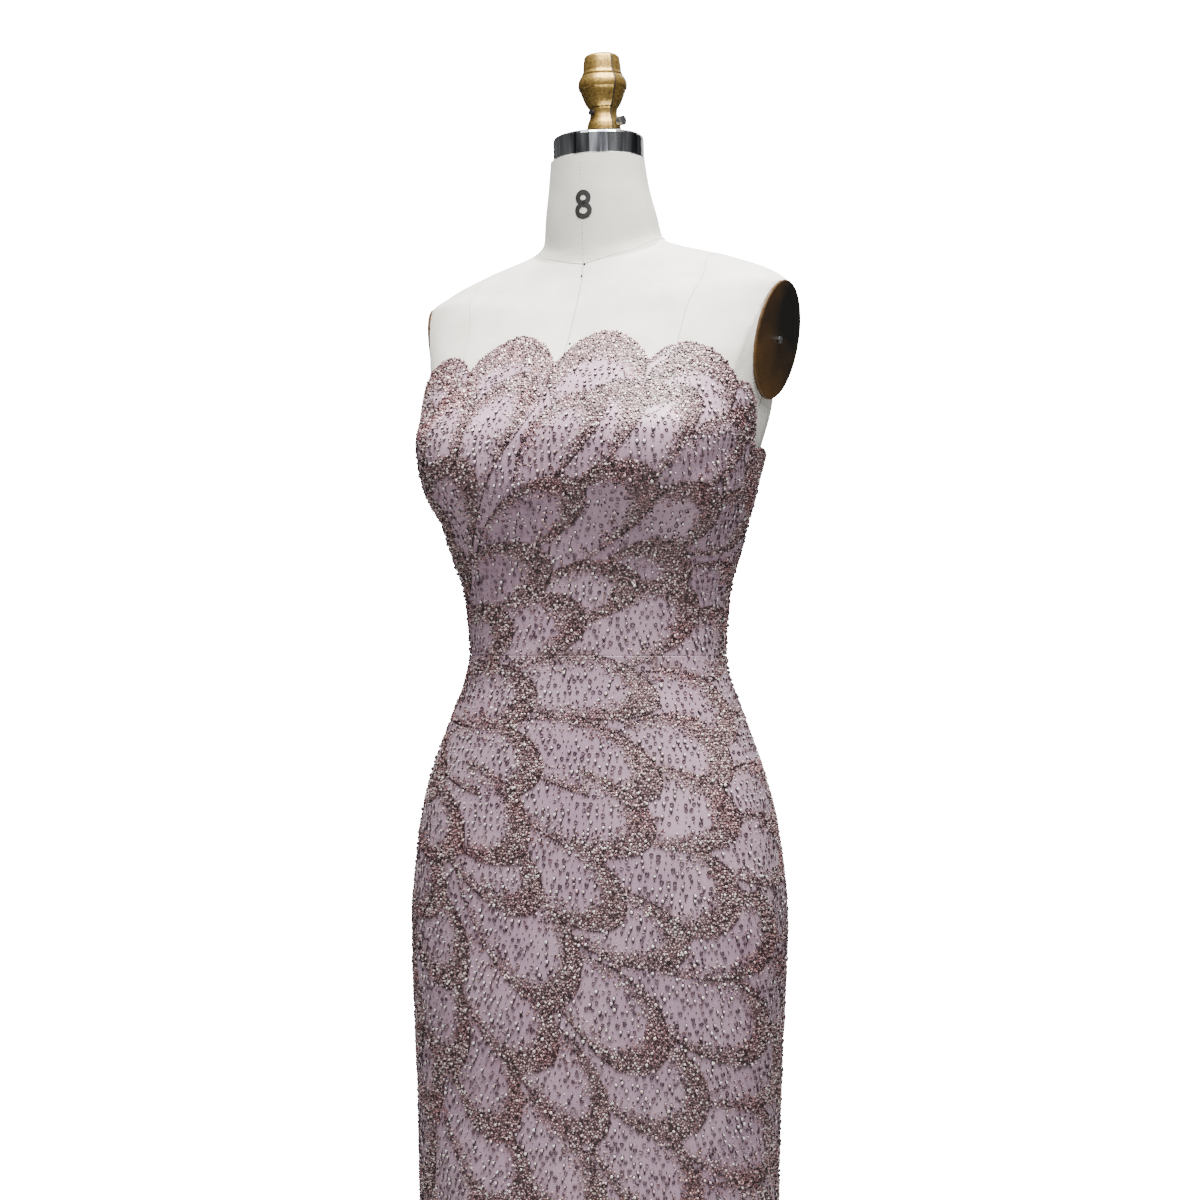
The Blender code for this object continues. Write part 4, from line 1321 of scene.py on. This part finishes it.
    def build_sheet(self, cut: Cut) -> None:
        name, start, end, upper = cut.value
        columns = int((end - start) * (self.bodice_columns if upper else self.skirt_columns)) + 1
        arounds = np.linspace(start, end, columns)
        margin = 0.5 * SEAM_GAP / self.usual_half_round
        arounds[0] += margin
        arounds[-1] -= margin
        arounds[1], arounds[-2] = arounds[0] + self.edge_fold, arounds[-1] - self.edge_fold
        rows = np.linspace(0, 1, self.bodice_rows if upper else self.skirt_rows)[:, None]
        rows[1], rows[-2] = self.edge_fold, 1 - self.edge_fold
        if upper:
            bottom = WAIST_Z + 0.5 * SEAM_GAP
            valley, rise = neckline_z(arounds)
            zs = bottom + (valley - bottom) * rows + rise * rows**SCALLOP_ROW_POWER
        else:
            runs = self.skin.run(WAIST_Z - 0.5 * SEAM_GAP) * rows
            zs = np.broadcast_to(self.skin.height(runs), (len(rows), columns))
        around = np.broadcast_to(arounds, zs.shape)
        points, normals = self.skin.at(around, zs)
        _, depth, _ = self.design.cover(around.ravel(), zs.ravel())
        depth = np.where(self.near_neckline(around.ravel(), zs.ravel()), self.fray[1], depth)
        band = np.clip(depth / self.fray[1], 0, 1).reshape(zs.shape)
        turned = np.pad(points, ((1, 1), (1, 1), (0, 0)), mode="edge")
        inward = np.pad(normals, ((1, 1), (1, 1), (0, 0)), mode="edge") * self.turned_in * CLOTH_WALL
        inward[1:-1, 1:-1] = 0
        turned = turned - inward
        mesh = mesh_from_arrays(name, turned.reshape(-1, 3), grid_faces(*turned.shape[:2]))
        set_attribute(mesh, "band", np.pad(band, 1, mode="edge").ravel())
        sheet = add_piece(f"{name}_satin", mesh, Finish.SATIN)
        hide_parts(name)
        width, length, area = self.FLAT_SIZES[name]
        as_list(self.trims.get(name, []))

    def near_neckline(self, around: np.ndarray, z: np.ndarray) -> np.ndarray:
        """Whether places are in the band of beads along the scalloped edge."""
        valley, rise = neckline_z(around)
        least, share = self.neckline_band
        return z > valley + rise - (least + share * rise)

    def allowed(self, around: np.ndarray, z: np.ndarray) -> np.ndarray:
        """Whether a bead fits at each place, clear of the seams and the edges."""
        valley, rise = neckline_z(around)
        half = self.skin.half_round(z)
        return (
            (z > HEM_Z + self.seam_margin)
            & (z < valley + rise - self.seam_margin)
            & (np.abs(z - WAIST_Z) > self.seam_margin)
            & ((1 - np.abs(around)) * half > self.seam_margin)
            & (np.abs(np.abs(around) - SIDE_SEAM) * half > self.side_margin)
        )

    def add_beads(
        self, lot: BeadLot, around: np.ndarray, z: np.ndarray, sizes: np.ndarray, tones: np.ndarray,
        spins: np.ndarray,
    ) -> None:
        """Joins beads into one mesh for each cut piece that they are sewn on.

        Args:
            lot: Which beads they are.
            around: Places around.
            z: Heights.
            sizes: (n, 3) half widths and height.
            tones: The number that picks each bead's colour.
            spins: Each bead's turn.
        """
        kind, finish, shape, lean, smooth = lot.value
        rng = np.random.default_rng(self.seed + len(kind))
        leans = rng.uniform(-lean, lean, (len(z), 2))
        points, normals = self.skin.at(around, z)
        beads = Beads(points - normals * self.sunk_mm * MM, normals, sizes, tones, spins, leans)
        for cut in Cut:
            held = cut.holds(around, z)
            if not held.any():
                continue
            name = f"{cut.node}_{kind}"
            piece = add_piece(name, beads.only(held).mesh(name, shape, smooth), finish)
            self.trims.setdefault(cut.node, []).append(piece)

    def scatter(self, spread: Spread) -> np.ndarray:
        """Spreads places over the whole gown, and returns the places around and the heights."""
        return np.concatenate([
            self.skin.scatter(self.photo_low, self.skin.top, spread.close, spread.loose, spread.seed),
            self.skin.scatter(HEM_Z, self.photo_low, spread.wide, spread.loose, spread.seed + 1),
        ]).T

    def lay_band_beads(self) -> None:
        """Fills the petals' bands with small beads, and runs a row of larger ones along each edge."""
        rng = np.random.default_rng(self.seed)
        around, z = self.scatter(self.band_spread)
        _, depth, rim = self.design.cover(around, z)
        kept = (depth > rng.uniform(*self.fray, len(z))) & ~rim
        kept = (kept | self.near_neckline(around, z)) & self.allowed(around, z)
        around, z = around[kept], z[kept]
        count = len(z)
        wide = np.where(z < self.photo_low, self.band_spread.wide / self.band_spread.close, 1.0)
        size = rng.uniform(*self.band_radii_mm, count) * wide * MM
        share, radius_mm, tone = self.large
        large = rng.random(count) < share
        size = np.where(large, radius_mm * wide * MM, size)
        tones = np.where(large, tone, self.tones(rng, z))
        sizes = np.stack([size, size, size * rng.uniform(*self.band_tallness, count)], axis=1)
        self.add_beads(BeadLot.BAND, around, z, sizes, tones, self.spins(rng, z))
        around, z = self.design.edges(self.edge_spacing)
        kept = self.allowed(around, z)
        around, z = around[kept], z[kept]
        size = rng.uniform(*self.edge_radii_mm, len(z)) * MM
        sizes = np.stack([size, size, self.edge_tallness * size], axis=1)
        # Edge rows are darker: partly the beads' own tones, partly painted shade where one petal lies over
        # the next.
        tones = self.tones(rng, z) ** self.edge_darkening
        self.add_beads(BeadLot.EDGE, around, z, sizes, tones, self.spins(rng, z))

    def tones(self, rng: np.random.Generator, z: np.ndarray) -> np.ndarray:
        """Picks each bead's tone: more of the dark ones near the neckline, as painted shade where the light
        falls strongest.
        """
        more, start, over = self.high_tone
        return rng.random(len(z)) ** (self.tone_power + more * np.clip((z - start) / over, 0, 1))

    def spins(self, rng: np.random.Generator, z: np.ndarray) -> np.ndarray:
        """Turns each bead any way about its normal."""
        return rng.uniform(0, 2 * math.pi, len(z))

    def lay_ground_beads(self) -> None:
        """Dots the petals' grounds with rings, pearls that each hang over a seed bead, and lone seeds."""
        rng = np.random.default_rng(self.seed + 1)
        around, z = self.scatter(self.ground_spread)
        _, depth, _ = self.design.cover(around, z)
        ground = (depth < rng.uniform(self.fray[0], 0, len(z))) & ~self.near_neckline(around, z)
        draw = rng.random(len(z))
        hangs, lone = draw < self.pearl_draw, draw > self.ring_draw
        for lot, kept in (
            (BeadLot.PEARLS, (ground & hangs) | (~ground & (draw < self.band_pearl_draw))),
            (BeadLot.RINGS, ground & (draw > self.pearl_draw) & (draw < self.ring_draw)),
            (BeadLot.SEEDS, ground & (hangs | lone)),
        ):
            turn, height = around[kept], z[kept]
            if lot is BeadLot.SEEDS:
                height = np.where(hangs[kept], height - self.pearl_drop_mm * MM, height)
            fits = self.allowed(turn, height)
            turn, height = turn[fits], height[fits]
            sizes, spins = self.ground_sizes(rng, lot, height)
            self.add_beads(lot, turn, height, sizes, rng.random(len(height)), spins)

    def ground_sizes(
        self, rng: np.random.Generator, lot: BeadLot, z: np.ndarray
    ) -> tuple[np.ndarray, np.ndarray]:
        """Draws the sizes of pearls, rings or seeds, and their turns.

        Args:
            rng: The generator that they are drawn from.
            lot: Which beads they are.
            z: Their heights.

        Returns:
            (n, 3) half widths and height of each, and each one's turn.
        """
        count = len(z)
        size, spins = rng.uniform(*self.varied, count) * MM, self.spins(rng, z)
        if lot is BeadLot.PEARLS:
            small, large = self.pearl_radii_mm
            size *= np.where(rng.random(count) < self.large_pearls, large, small)
            sizes = (size, size, self.pearl_tallness * size)
        elif lot is BeadLot.RINGS:
            size *= self.ring_radius_mm
            sizes = (size, size * rng.uniform(*self.ring_roundness, count), self.ring_tallness * size)
        else:
            long = rng.uniform(*self.seed_lengths, count) * size
            sizes = (long, self.seed_width * size, self.seed_tallness * size)
            spins = rng.normal(0.0, self.seed_turn, count)
        return np.stack(sizes, axis=1), spins

    def lay_neckline_row(self) -> None:
        """Runs a row of beads along the scalloped edge."""
        around = np.linspace(-1, 1, self.neckline_steps)
        valley, rise = neckline_z(around)
        points, _ = self.skin.at(around, valley + rise - self.neckline_drop)
        along = lengths_along(points)
        at = np.arange(self.neckline_end, along[-1] - self.neckline_end, self.neckline_spacing)
        rng = np.random.default_rng(self.seed + 2)
        around = np.interp(at, along, around)
        valley, rise = neckline_z(around)
        z = valley + rise + rng.uniform(*self.neckline_stray_mm, len(at)) * MM
        size = rng.uniform(*self.neckline_radii_mm, len(at)) * MM
        sizes = np.stack([size, size, self.neckline_tallness * size], axis=1)
        tones = self.tones(rng, z)
        self.add_beads(BeadLot.NECKLINE, around, z, sizes, tones, self.spins(rng, z))

    def lay_tape(self, name: str, around: np.ndarray, z: np.ndarray, half: float) -> None:
        """Lays a woven tape behind the cloth along a seam, so that the seam reads as a dark groove; at the
        waist and sides its darkness is painted shade.

        Args:
            name: The tape's name.
            around: Places around of the seam's line.
            z: Its heights.
            half: Half the tape's width.
        """
        back, front = self.TAPE_BACK, -CLOTH_WALL
        section = ((half, back), (half, front), (-half, front), (-half, back))
        tape = strip_mesh(name, *self.skin.at(around, z), section, closed=True)
        add_piece(name, tape, Finish.TAPE)

    def bind_seams(self) -> None:
        """Tapes the waist seam and both side seams, the tape's darkness standing as painted shade in their
        grooves.
        """
        around = np.linspace(-self.WAIST_TAPE_END, self.WAIST_TAPE_END, self.WAIST_TAPE_STEPS)
        self.lay_tape("waist_tape", around, np.full(len(around), WAIST_Z), self.WAIST_TAPE)
        for side, name in ((1, "side_tape_left"), (-1, "side_tape_right")):
            for part, low, high in self.SIDE_TAPES:
                z = np.linspace(low, high, self.SIDE_TAPE_STEPS)
                self.lay_tape(f"{name}_{part}", np.full(len(z), side * SIDE_SEAM), z, self.SIDE_TAPE)

    def build_zip(self) -> None:
        """Sews the zip's tape behind the centre back, with its coil of teeth."""
        z = np.arange(*self.ZIP_ENDS, self.ZIP_STEP)
        around = np.ones(len(z))
        self.lay_tape("zip_tape", around, z, self.ZIP_TAPE)
        points, normals = self.skin.at(around, z)
        teeth = Beads.alike(points - normals * self.ZIP_DEPTH_MM * MM, normals, self.ZIP_TOOTH_MM)
        add_piece("zip_coil", teeth.mesh("zip_coil", BeadShape.PEARL), Finish.ZIP)
        for node in ("zip_slider", "zip_pull"):
            dress(node, Finish.ZIP)


# ---------------------------------------------------------------- the dress form
class CoverSeam(Enum):
    """Seams of the form's cover: places around, places up counted in rings, and two choices.

    The first choice is whether stitches show. The second is whether both sides of the form have the seam.
    """

    CENTRE_FRONT = ((0.006, 0.006), (29.7, 19.0), True, False)
    CENTRE_BACK = ((1.0, 1.0), (29.7, 15.5), True, False)
    NECK = (
        (0.0, 0.05, 0.135, 0.235, 0.315, 0.435, 0.7, 1.0),
        (24.9, 25.1, 25.6, 25.9, 26.4, 26.75, 27.1, 27.2),
        True, True,
    )
    PRINCESS = (
        (0.47, 0.37, 0.305, 0.255, 0.235, 0.225), (24.6, 24.0, 23.1, 21.8, 21.0, 19.0), False, True,
    )
    BACK = ((0.47, 0.58, 0.66, 0.70, 0.73), (24.6, 24.0, 22.6, 20.0, 15.5), False, True)
    SIDE = ((0.505, 0.505), (18.4, 15.8), True, True)

    def runs(self) -> tuple[tuple[str, int], ...]:
        """The name of each run of the seam, and its side: 1 is the form's left."""
        name, both_sides = f"cover_seam_{self.name.lower()}", self.value[3]
        return ((f"{name}_left", 1), (f"{name}_right", -1)) if both_sides else ((name, 1),)


@dataclass
class DressForm:
    """The padded torso under its canvas, its arm plates, the steel cap and the cast finial."""

    bottom: float = 0.740
    columns: int = 128
    low_rows: int = 20
    low_top: float = 1.20
    high_rows: int = 100
    # The upper rows start at least this far above the lower ones.
    row_gap: float = 0.002
    sharp: float = math.radians(40)
    welt: float = 0.55 * MM
    welt_points: int = 90
    stitch_step: float = 2.9 * MM
    stitch_mm: tuple[float, float, float] = (1.0, 0.5, 0.4)
    stitch_lift_mm: float = 0.15
    # The pins' places, (around, rings up), and the half sizes of their heads.
    pins: tuple[tuple[float, float], ...] = ((0.012, 24.85), (0.005, 24.0), (0.012, 20.5))
    pin_mm: tuple[float, float, float] = (1.15, 1.15, 1.2)
    number_place: tuple[float, float] = (0.015, 28.42)
    # The size number 8: (height of the ring's centre, half width, half height), and how wide its line is.
    number_rings: tuple[tuple[float, float, float], ...] = ((-5.4, 8.1, 7.5), (5.9, 7.2, 6.9))
    number_line: float = 4.5
    number_lift_mm: float = 0.4
    number_rows: int = 5
    number_steps: int = 48
    plate_centre: tuple[float, float, float] = (0.1636, 0.005, 1.3775)
    plate_to_front: float = math.radians(10)
    plate_down: float = math.radians(10)
    plate_lean: float = math.radians(5)
    cutter_side: float = 0.30
    neck_top: tuple[float, float, float] = (0.0, -0.0105, 1.549)
    neck_tilt: float = math.radians(5)
    cap_shift: float = 0.004
    cap_height: float = 0.022
    touch_gap: float = 0.0003
    finial_shift: tuple[float, float, float] = (0.003, 0.007, 0.0)
    parting_turn: float = math.radians(52)
    collar_grooves: tuple[float, float, float] = (0.0555, 0.0425, 0.0262)
    groove_depth: float = 1.1 * MM
    groove_spread: float = 0.7 * MM
    finial_sharp: float = math.radians(50)
    finial_rows: int = 96
    finial_columns: int = 80
    # The casting's parting line runs down both sides, but not where the radius is less than this.
    parting_radius: float = 0.011
    parting_rise: float = 0.9 * MM
    parting_spread: float = 0.075
    flash_half_mm: float = 0.7
    flash_rise: float = 1.05 * MM

    FINIAL_PROFILE = (
        (0, 0.0755), (0.0110, 0.0752), (0.0145, 0.0740), (0.0162, 0.0720), (0.0170, 0.0670),
        (0.0176, 0.0590), (0.0184, 0.0575), (0.0204, 0.0540), (0.0222, 0.0502), (0.0226, 0.0465),
        (0.0218, 0.0430), (0.0200, 0.0400), (0.0182, 0.0350), (0.0162, 0.0305), (0.0136, 0.0265),
        (0.0126, 0.0240), (0.0124, 0.0205), (0.0134, 0.0160), (0.0150, 0.0125), (0.0156, 0.0085),
        (0.0156, 0), (0, 0),
    )

    def build(self) -> None:
        """Builds the cover, its seams and marks, and the finial, and dresses the CAD's metal parts."""
        cover = self.build_cover()
        self.sew_seams(cover)
        self.build_finial()
        for node, finish in (
            ("arm_plate_left", Finish.PLATE), ("arm_plate_right", Finish.PLATE),
            ("arm_screw_left", Finish.SCREW), ("arm_screw_right", Finish.SCREW),
            ("neck_cap", Finish.CAP), ("finial_screw", Finish.SCREW), ("finial_pin", Finish.IRON),
            ("stand_pole", Finish.IRON), ("stand_base", Finish.IRON),
        ):
            dress(node, finish)

    def plate_matrix(self, side: int) -> Matrix:
        """Where an arm plate sits: local +X points out of the shoulder, and local Z runs up the plate."""
        centre = Vector((side * self.plate_centre[0], *self.plate_centre[1:]))
        facing = Matrix.Rotation(-side * self.plate_to_front, 4, "Z")
        if side < 0:
            facing = facing @ Matrix.Rotation(math.pi, 4, "Z")
        drop = Matrix.Rotation(self.plate_down, 4, "Y")
        lean = Matrix.Rotation(-side * self.plate_lean, 4, "X")
        return Matrix.Translation(centre) @ facing @ drop @ lean

    def build_cover(self) -> bpy.types.Object:
        """Builds the canvas cover: the outer shape set in from the cloth, cut flat at both shoulders."""
        arounds = np.linspace(-1, 1, self.columns + 1)[:-1]
        columns = lattice(arounds)
        points = np.zeros((self.low_rows + self.high_rows, self.columns, 3))
        low = np.linspace(self.bottom, self.low_top, self.low_rows)
        for c in range(self.columns):
            column = columns[:, c]
            upper = column[column[:, 2] > self.low_top + self.row_gap]
            along = np.linspace(0, len(upper) - 1, self.high_rows)
            for axis in range(3):
                points[: self.low_rows, c, axis] = np.interp(low, column[:, 2], column[:, axis])
                points[self.low_rows :, c, axis] = np.interp(along, np.arange(len(upper)), upper[:, axis])
        faces = grid_faces(*points.shape[:2], closed=True)
        mesh = mesh_from_arrays("form_cover", points.reshape(-1, 3), faces)
        body = bmesh.new()
        body.from_mesh(mesh)
        body.normal_update()
        body.verts.ensure_lookup_table()
        last = len(body.verts) - self.columns
        shift = [vertex.normal * (CLOTH_WALL + FORM_GAP) for vertex in body.verts]
        for vertex, by in zip(body.verts, shift):
            vertex.co -= by
            if vertex.index < self.columns:
                vertex.co.z = self.bottom
            elif vertex.index >= last:
                vertex.co.z = self.neck_top[2] + (vertex.co.y - self.neck_top[1]) * math.tan(self.neck_tilt)
        bmesh.ops.holes_fill(body, edges=body.edges, sides=0)
        bmesh.ops.recalc_face_normals(body, faces=body.faces)
        body.to_mesh(mesh)
        body.free()
        mesh.shade_smooth()
        cover = add_piece("form_cover", mesh, Finish.CANVAS)
        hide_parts("form_torso")
        self.cut_shoulders(cover)
        return cover

    def cut_shoulders(self, cover: bpy.types.Object) -> None:
        """Cuts the cover flat behind both arm plates, and keeps the result as its mesh."""
        boxes = []
        for side in (1, -1):
            box = bmesh.new()
            bmesh.ops.create_cube(box, size=self.cutter_side)
            data = bpy.data.meshes.new("shoulder_cut")
            box.to_mesh(data)
            box.free()
            cutter = link_object("shoulder_cut", data)
            place = Matrix.Translation((self.cutter_side / 2, 0, 0))
            cutter.matrix_world = self.plate_matrix(side) @ place
            cut = cover.modifiers.new("shoulder_cut", "BOOLEAN")
            cut.operation = "DIFFERENCE"
            cut.object = cutter
            boxes.append(cutter)
        bpy.context.view_layer.update()
        graph = bpy.context.evaluated_depsgraph_get()
        made = bpy.data.meshes.new_from_object(cover.evaluated_get(graph))
        cover.modifiers.clear()
        cover.data = made
        made.name = "form_cover"
        made.shade_smooth()
        made.set_sharp_from_angle(angle=self.sharp)
        for cutter in boxes:
            bpy.data.objects.remove(cutter, do_unlink=True)

    def on_cover(
        self, tree: BVHTree, arounds: np.ndarray, places: np.ndarray
    ) -> tuple[np.ndarray, np.ndarray]:
        """Points and outward normals of the finished cover.

        Args:
            tree: The cover's faces.
            arounds: Places around.
            places: Places up, counted in rings.

        Returns:
            The points and the normals.
        """
        shape = lattice(np.asarray(arounds))
        up = np.clip(np.asarray(places) * RING_STEPS_BETWEEN, 0, len(shape) - LAST_ROW)
        low, column = up.astype(int), np.arange(len(up))
        blend = (up - low)[:, None]
        outer = shape[low, column] * (1 - blend) + shape[low + 1, column] * blend
        found = [tree.find_nearest(Vector(point)) for point in outer]
        return np.array([hit[0] for hit in found]), np.array([hit[1] for hit in found])

    def sew_seams(self, cover: bpy.types.Object) -> None:
        """Sews the cover's seams as pressed welts with their stitches, and adds the number and the pins."""
        data = cover.data
        tree = BVHTree.FromPolygons(
            [vertex.co.copy() for vertex in data.vertices], [tuple(face.vertices) for face in data.polygons]
        )
        pressed = ((1, 0.0), (0.5, 0.35), (-0.5, 0.35), (-1, 0.0))
        section = tuple((across * self.welt, out * self.welt) for across, out in pressed)
        for seam in CoverSeam:
            arounds, rings, stitched, _ = seam.value
            share, knots = np.linspace(0, len(arounds) - 1, self.welt_points), np.arange(len(arounds))
            up = smooth_curve(share, knots, rings)
            for name, side in seam.runs():
                turn = smooth_curve(share, knots, side * np.array(arounds))
                points, normals = self.on_cover(tree, turn, up)
                add_piece(name, strip_mesh(name, points, normals, section), Finish.WELT)
                if stitched:
                    self.stitch(f"{name}_stitches", points, normals)
        self.print_number(tree)
        self.stick_pins(tree)

    def stitch(self, name: str, points: np.ndarray, normals: np.ndarray) -> None:
        """Runs a row of stitches along a line of points on the cover."""
        along = lengths_along(points)
        at = np.arange(0, along[-1], self.stitch_step)
        places, facing = (
            np.stack([np.interp(at, along, of[:, axis]) for axis in range(3)], axis=1)
            for of in (points, normals)
        )
        facing = unit(facing)
        way, up = np.gradient(places, axis=0), UP - facing * facing[:, 2:3]
        side = np.cross(up, facing)
        spins = np.arctan2((way * side).sum(axis=1), (way * up).sum(axis=1))
        row = Beads.alike(places + facing * self.stitch_lift_mm * MM, facing, self.stitch_mm, spins)
        add_piece(name, row.mesh(name, BeadShape.STUD, smooth=False), Finish.THREAD)

    def print_number(self, tree: BVHTree) -> None:
        """Prints the size, a plain 8, on the neck as two rings of ink that follow the cloth."""
        (centre,), (facing,) = self.on_cover(tree, *np.reshape(self.number_place, (2, 1)))
        up = UP - facing * facing[2]
        up /= np.linalg.norm(up)
        side = np.cross(up, facing)
        turns = np.linspace(0, 2 * math.pi, self.number_steps, endpoint=False)
        loops, faces = [], []
        for height, wide, tall in self.number_rings:
            first = sum(len(loop) for loop in loops)
            faces.append(grid_faces(self.number_rows, len(turns), closed=True) + first)
            for inset in np.linspace(0, 1, self.number_rows):
                across = (wide - inset * self.number_line) * np.cos(turns) * MM
                rise = (height + (tall - inset * self.number_line) * np.sin(turns)) * MM
                flat = centre + across[:, None] * side + rise[:, None] * up
                hits = [tree.find_nearest(Vector(point)) for point in flat]
                loops.append(np.array([hit[0] + hit[1] * self.number_lift_mm * MM for hit in hits]))
        mesh = mesh_from_arrays("neck_number", np.concatenate(loops), np.concatenate(faces))
        add_piece("neck_number", mesh, Finish.PRINT)

    def stick_pins(self, tree: BVHTree) -> None:
        """Sticks three pins in the cover, where their heads show."""
        heads = Beads.alike(*self.on_cover(tree, *zip(*self.pins)), self.pin_mm)
        add_piece("pin_heads", heads.mesh("pin_heads", BeadShape.PEARL), Finish.IRON)

    def build_finial(self) -> None:
        """Turns the finial's profile finely, with the casting's parting line raised on both sides."""
        profile = np.array(self.FINIAL_PROFILE)
        along = np.concatenate([[0], np.cumsum(np.hypot(*np.diff(profile, axis=0).T))])
        along /= along[-1]
        share = np.linspace(0, 1, self.finial_rows)
        radius, height = (np.interp(share, along, profile[:, c]) for c in range(2))
        for groove in self.collar_grooves:
            radius = radius - self.groove_depth * np.exp(-(((height - groove) / self.groove_spread) ** 2))
        parted = radius > self.parting_radius
        turns = np.linspace(0, 2 * math.pi, self.finial_columns, endpoint=False)
        off = np.abs((turns - self.parting_turn + math.pi / 2) % math.pi - math.pi / 2)
        ridge = self.parting_rise * np.exp(-((off / self.parting_spread) ** 2))
        points = self.turned(radius[:, None] + ridge[None] * parted[:, None], turns, height)
        faces = grid_faces(*points.shape[:2], closed=True)
        mesh = mesh_from_arrays("finial_casting", points.reshape(-1, 3), faces)
        mesh.set_sharp_from_angle(angle=self.finial_sharp)
        mesh.transform(self.on_cap())
        casting = add_piece("finial_casting", mesh, Finish.FINIAL)
        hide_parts("neck_finial")
        self.add_flash(radius[parted], height[parted])

    def add_flash(self, radius: np.ndarray, height: np.ndarray) -> None:
        """Lays a strip along the crest of each parting line, in its own finish of painted shade."""
        strips = []
        for turn in (self.parting_turn, self.parting_turn + math.pi):
            line = turn + np.array([-self.flash_half_mm, self.flash_half_mm])[None] * MM / radius[:, None]
            strips.append(self.turned((radius + self.flash_rise)[:, None], line, height))
        faces = grid_faces(*strips[0].shape[:2])
        points = np.concatenate([strip.reshape(-1, 3) for strip in strips])
        faces = np.concatenate([faces, faces + len(points) // 2])
        mesh = mesh_from_arrays("finial_flash", points, faces)
        mesh.transform(self.on_cap())
        add_piece("finial_flash", mesh, Finish.FLASH)

    def turned(self, radius: np.ndarray, turns: np.ndarray, height: np.ndarray) -> np.ndarray:
        """Points round the finial's axis, from the lowest row up, of a profile given from the top down."""
        x, y = radius * np.sin(turns), -radius * np.cos(turns)
        return np.stack([x, y, np.broadcast_to(height[:, None], x.shape)], axis=-1)[::-1]

    def on_cap(self) -> Matrix:
        """Where the finial stands: on the cap, square to the tilted top of the neck."""
        on_neck = Matrix.Translation(self.neck_top) @ Matrix.Rotation(self.neck_tilt, 4, "X")
        shift = Vector((0, self.cap_shift, self.touch_gap)) + Vector(self.finial_shift)
        shift.z += self.cap_height + self.touch_gap
        return on_neck @ Matrix.Translation(shift)


# ---------------------------------------------------------------- the studio
@dataclass
class Studio:
    """A plain pale floor, soft light from overhead, and the photograph's camera."""

    turn: float = math.radians(23)
    distance: float = 1.6
    camera_z: float = 1.105
    aim_z: float = 1.15
    lens: float = 52.8
    sensor: float = 36.0
    shift: float = -2 / 1200
    floor_radius: float = 1.85
    floor_steps: int = 128
    floor_clouds: float = 40.0
    floor_roughness: float = 0.9
    soft_light: float = 0.15
    backdrop_light: float = 24.0

    # The area lamps: name, place, what each is aimed at, size in metres, power in watts, colour.
    LAMPS = (
        ("overhead", (0.24, -0.44, 2.35), (0, 0, 1.15), 0.8, 86.0, "fffcf8"),
        ("front", (1.3, -2.8, 1.6), (0, 0, 1.2), 2.0, 14.0, "fbfbff"),
        ("back", (-0.4, 2.4, 3.0), (0, 0, 1.1), 2.0, 50.0, "ffffff"),
    )

    def build(self) -> None:
        """Sets up the floor, the lights, the background and the camera."""
        self.build_floor()
        for name, place, aim, size, power, colour in self.LAMPS:
            light = bpy.data.lights.new(name, "AREA")
            light.size = size
            light.energy = power
            light.color = linear(colour)[:3]
            self.point(link_object(name, light), place, aim)
        self.light_world()
        self.place_camera()

    def point(self, obj: bpy.types.Object, place: tuple, aim: tuple) -> None:
        """Puts a lamp or the camera in its place and turns it to what it looks at."""
        obj.location = place
        obj.rotation_euler = (Vector(aim) - Vector(place)).to_track_quat("-Z", "Y").to_euler()

    def light_world(self) -> None:
        """Surrounds the scene with soft light, and with a white backdrop where the camera looks past it."""
        world = bpy.data.worlds.new("studio_white")
        world.use_nodes = True
        tree = world.node_tree
        seen = add_node(tree, "ShaderNodeLightPath").outputs["Is Camera Ray"]
        light = add_node(tree, "ShaderNodeMix", {0: seen, 2: self.soft_light, 3: self.backdrop_light})
        shining = {"Color": linear("ffffff"), "Strength": light.outputs[0]}
        set_inputs(tree, tree.nodes["Background"], shining)
        bpy.context.scene.world = world

    def build_floor(self) -> None:
        """Lays the pale round floor."""
        turns = np.linspace(0, 2 * math.pi, self.floor_steps, endpoint=False)
        rim = np.stack([np.cos(turns), np.sin(turns), np.zeros_like(turns)], axis=1) * self.floor_radius
        mesh = mesh_from_arrays("floor", rim, np.arange(self.floor_steps)[None])
        material, tree, shader = new_material("matt_painted_floor")
        grain = add_node(tree, "ShaderNodeTexNoise", {"Scale": self.floor_clouds, "Detail": 4.0})
        paint = set_ramp(
            add_node(tree, "ShaderNodeValToRGB", {"Fac": grain.outputs["Fac"]}),
            ((0.3, "efeeec"), (0.7, "f4f3f1")),
        )
        set_inputs(tree, shader, {"Base Color": paint.outputs["Color"], "Roughness": self.floor_roughness})
        mesh.materials.append(material)
        floor = link_object("floor", mesh)
        floor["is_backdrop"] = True

    def place_camera(self) -> None:
        """Places the camera where the photograph's was."""
        data = bpy.data.cameras.new("photo_camera")
        data.lens = self.lens
        data.sensor_width = self.sensor
        data.shift_x = self.shift
        camera = link_object("photo_camera", data)
        place = (self.distance * math.sin(self.turn), -self.distance * math.cos(self.turn), self.camera_z)
        self.point(camera, place, (0, 0, self.aim_z))
        bpy.context.scene.camera = camera


def count_triangles() -> int:
    """How many triangles the visible pieces have."""
    meshes = (obj.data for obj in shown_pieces() if isinstance(obj.data, bpy.types.Mesh))
    return sum(len(mesh.loops) - 2 * len(mesh.polygons) for mesh in meshes)


def main() -> None:
    """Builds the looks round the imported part."""
    logging.basicConfig(level=logging.INFO, format="%(name)s: %(message)s")
    for obj in list(bpy.data.objects):
        bpy.data.objects.remove(obj, do_unlink=True)
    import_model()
    skin = Skin()
    DressForm().build()
    Gown(skin, PetalDesign(skin)).build()
    Studio().build()
    LOG.info("triangles: %d", count_triangles())


if __name__ == "__main__":
    main()
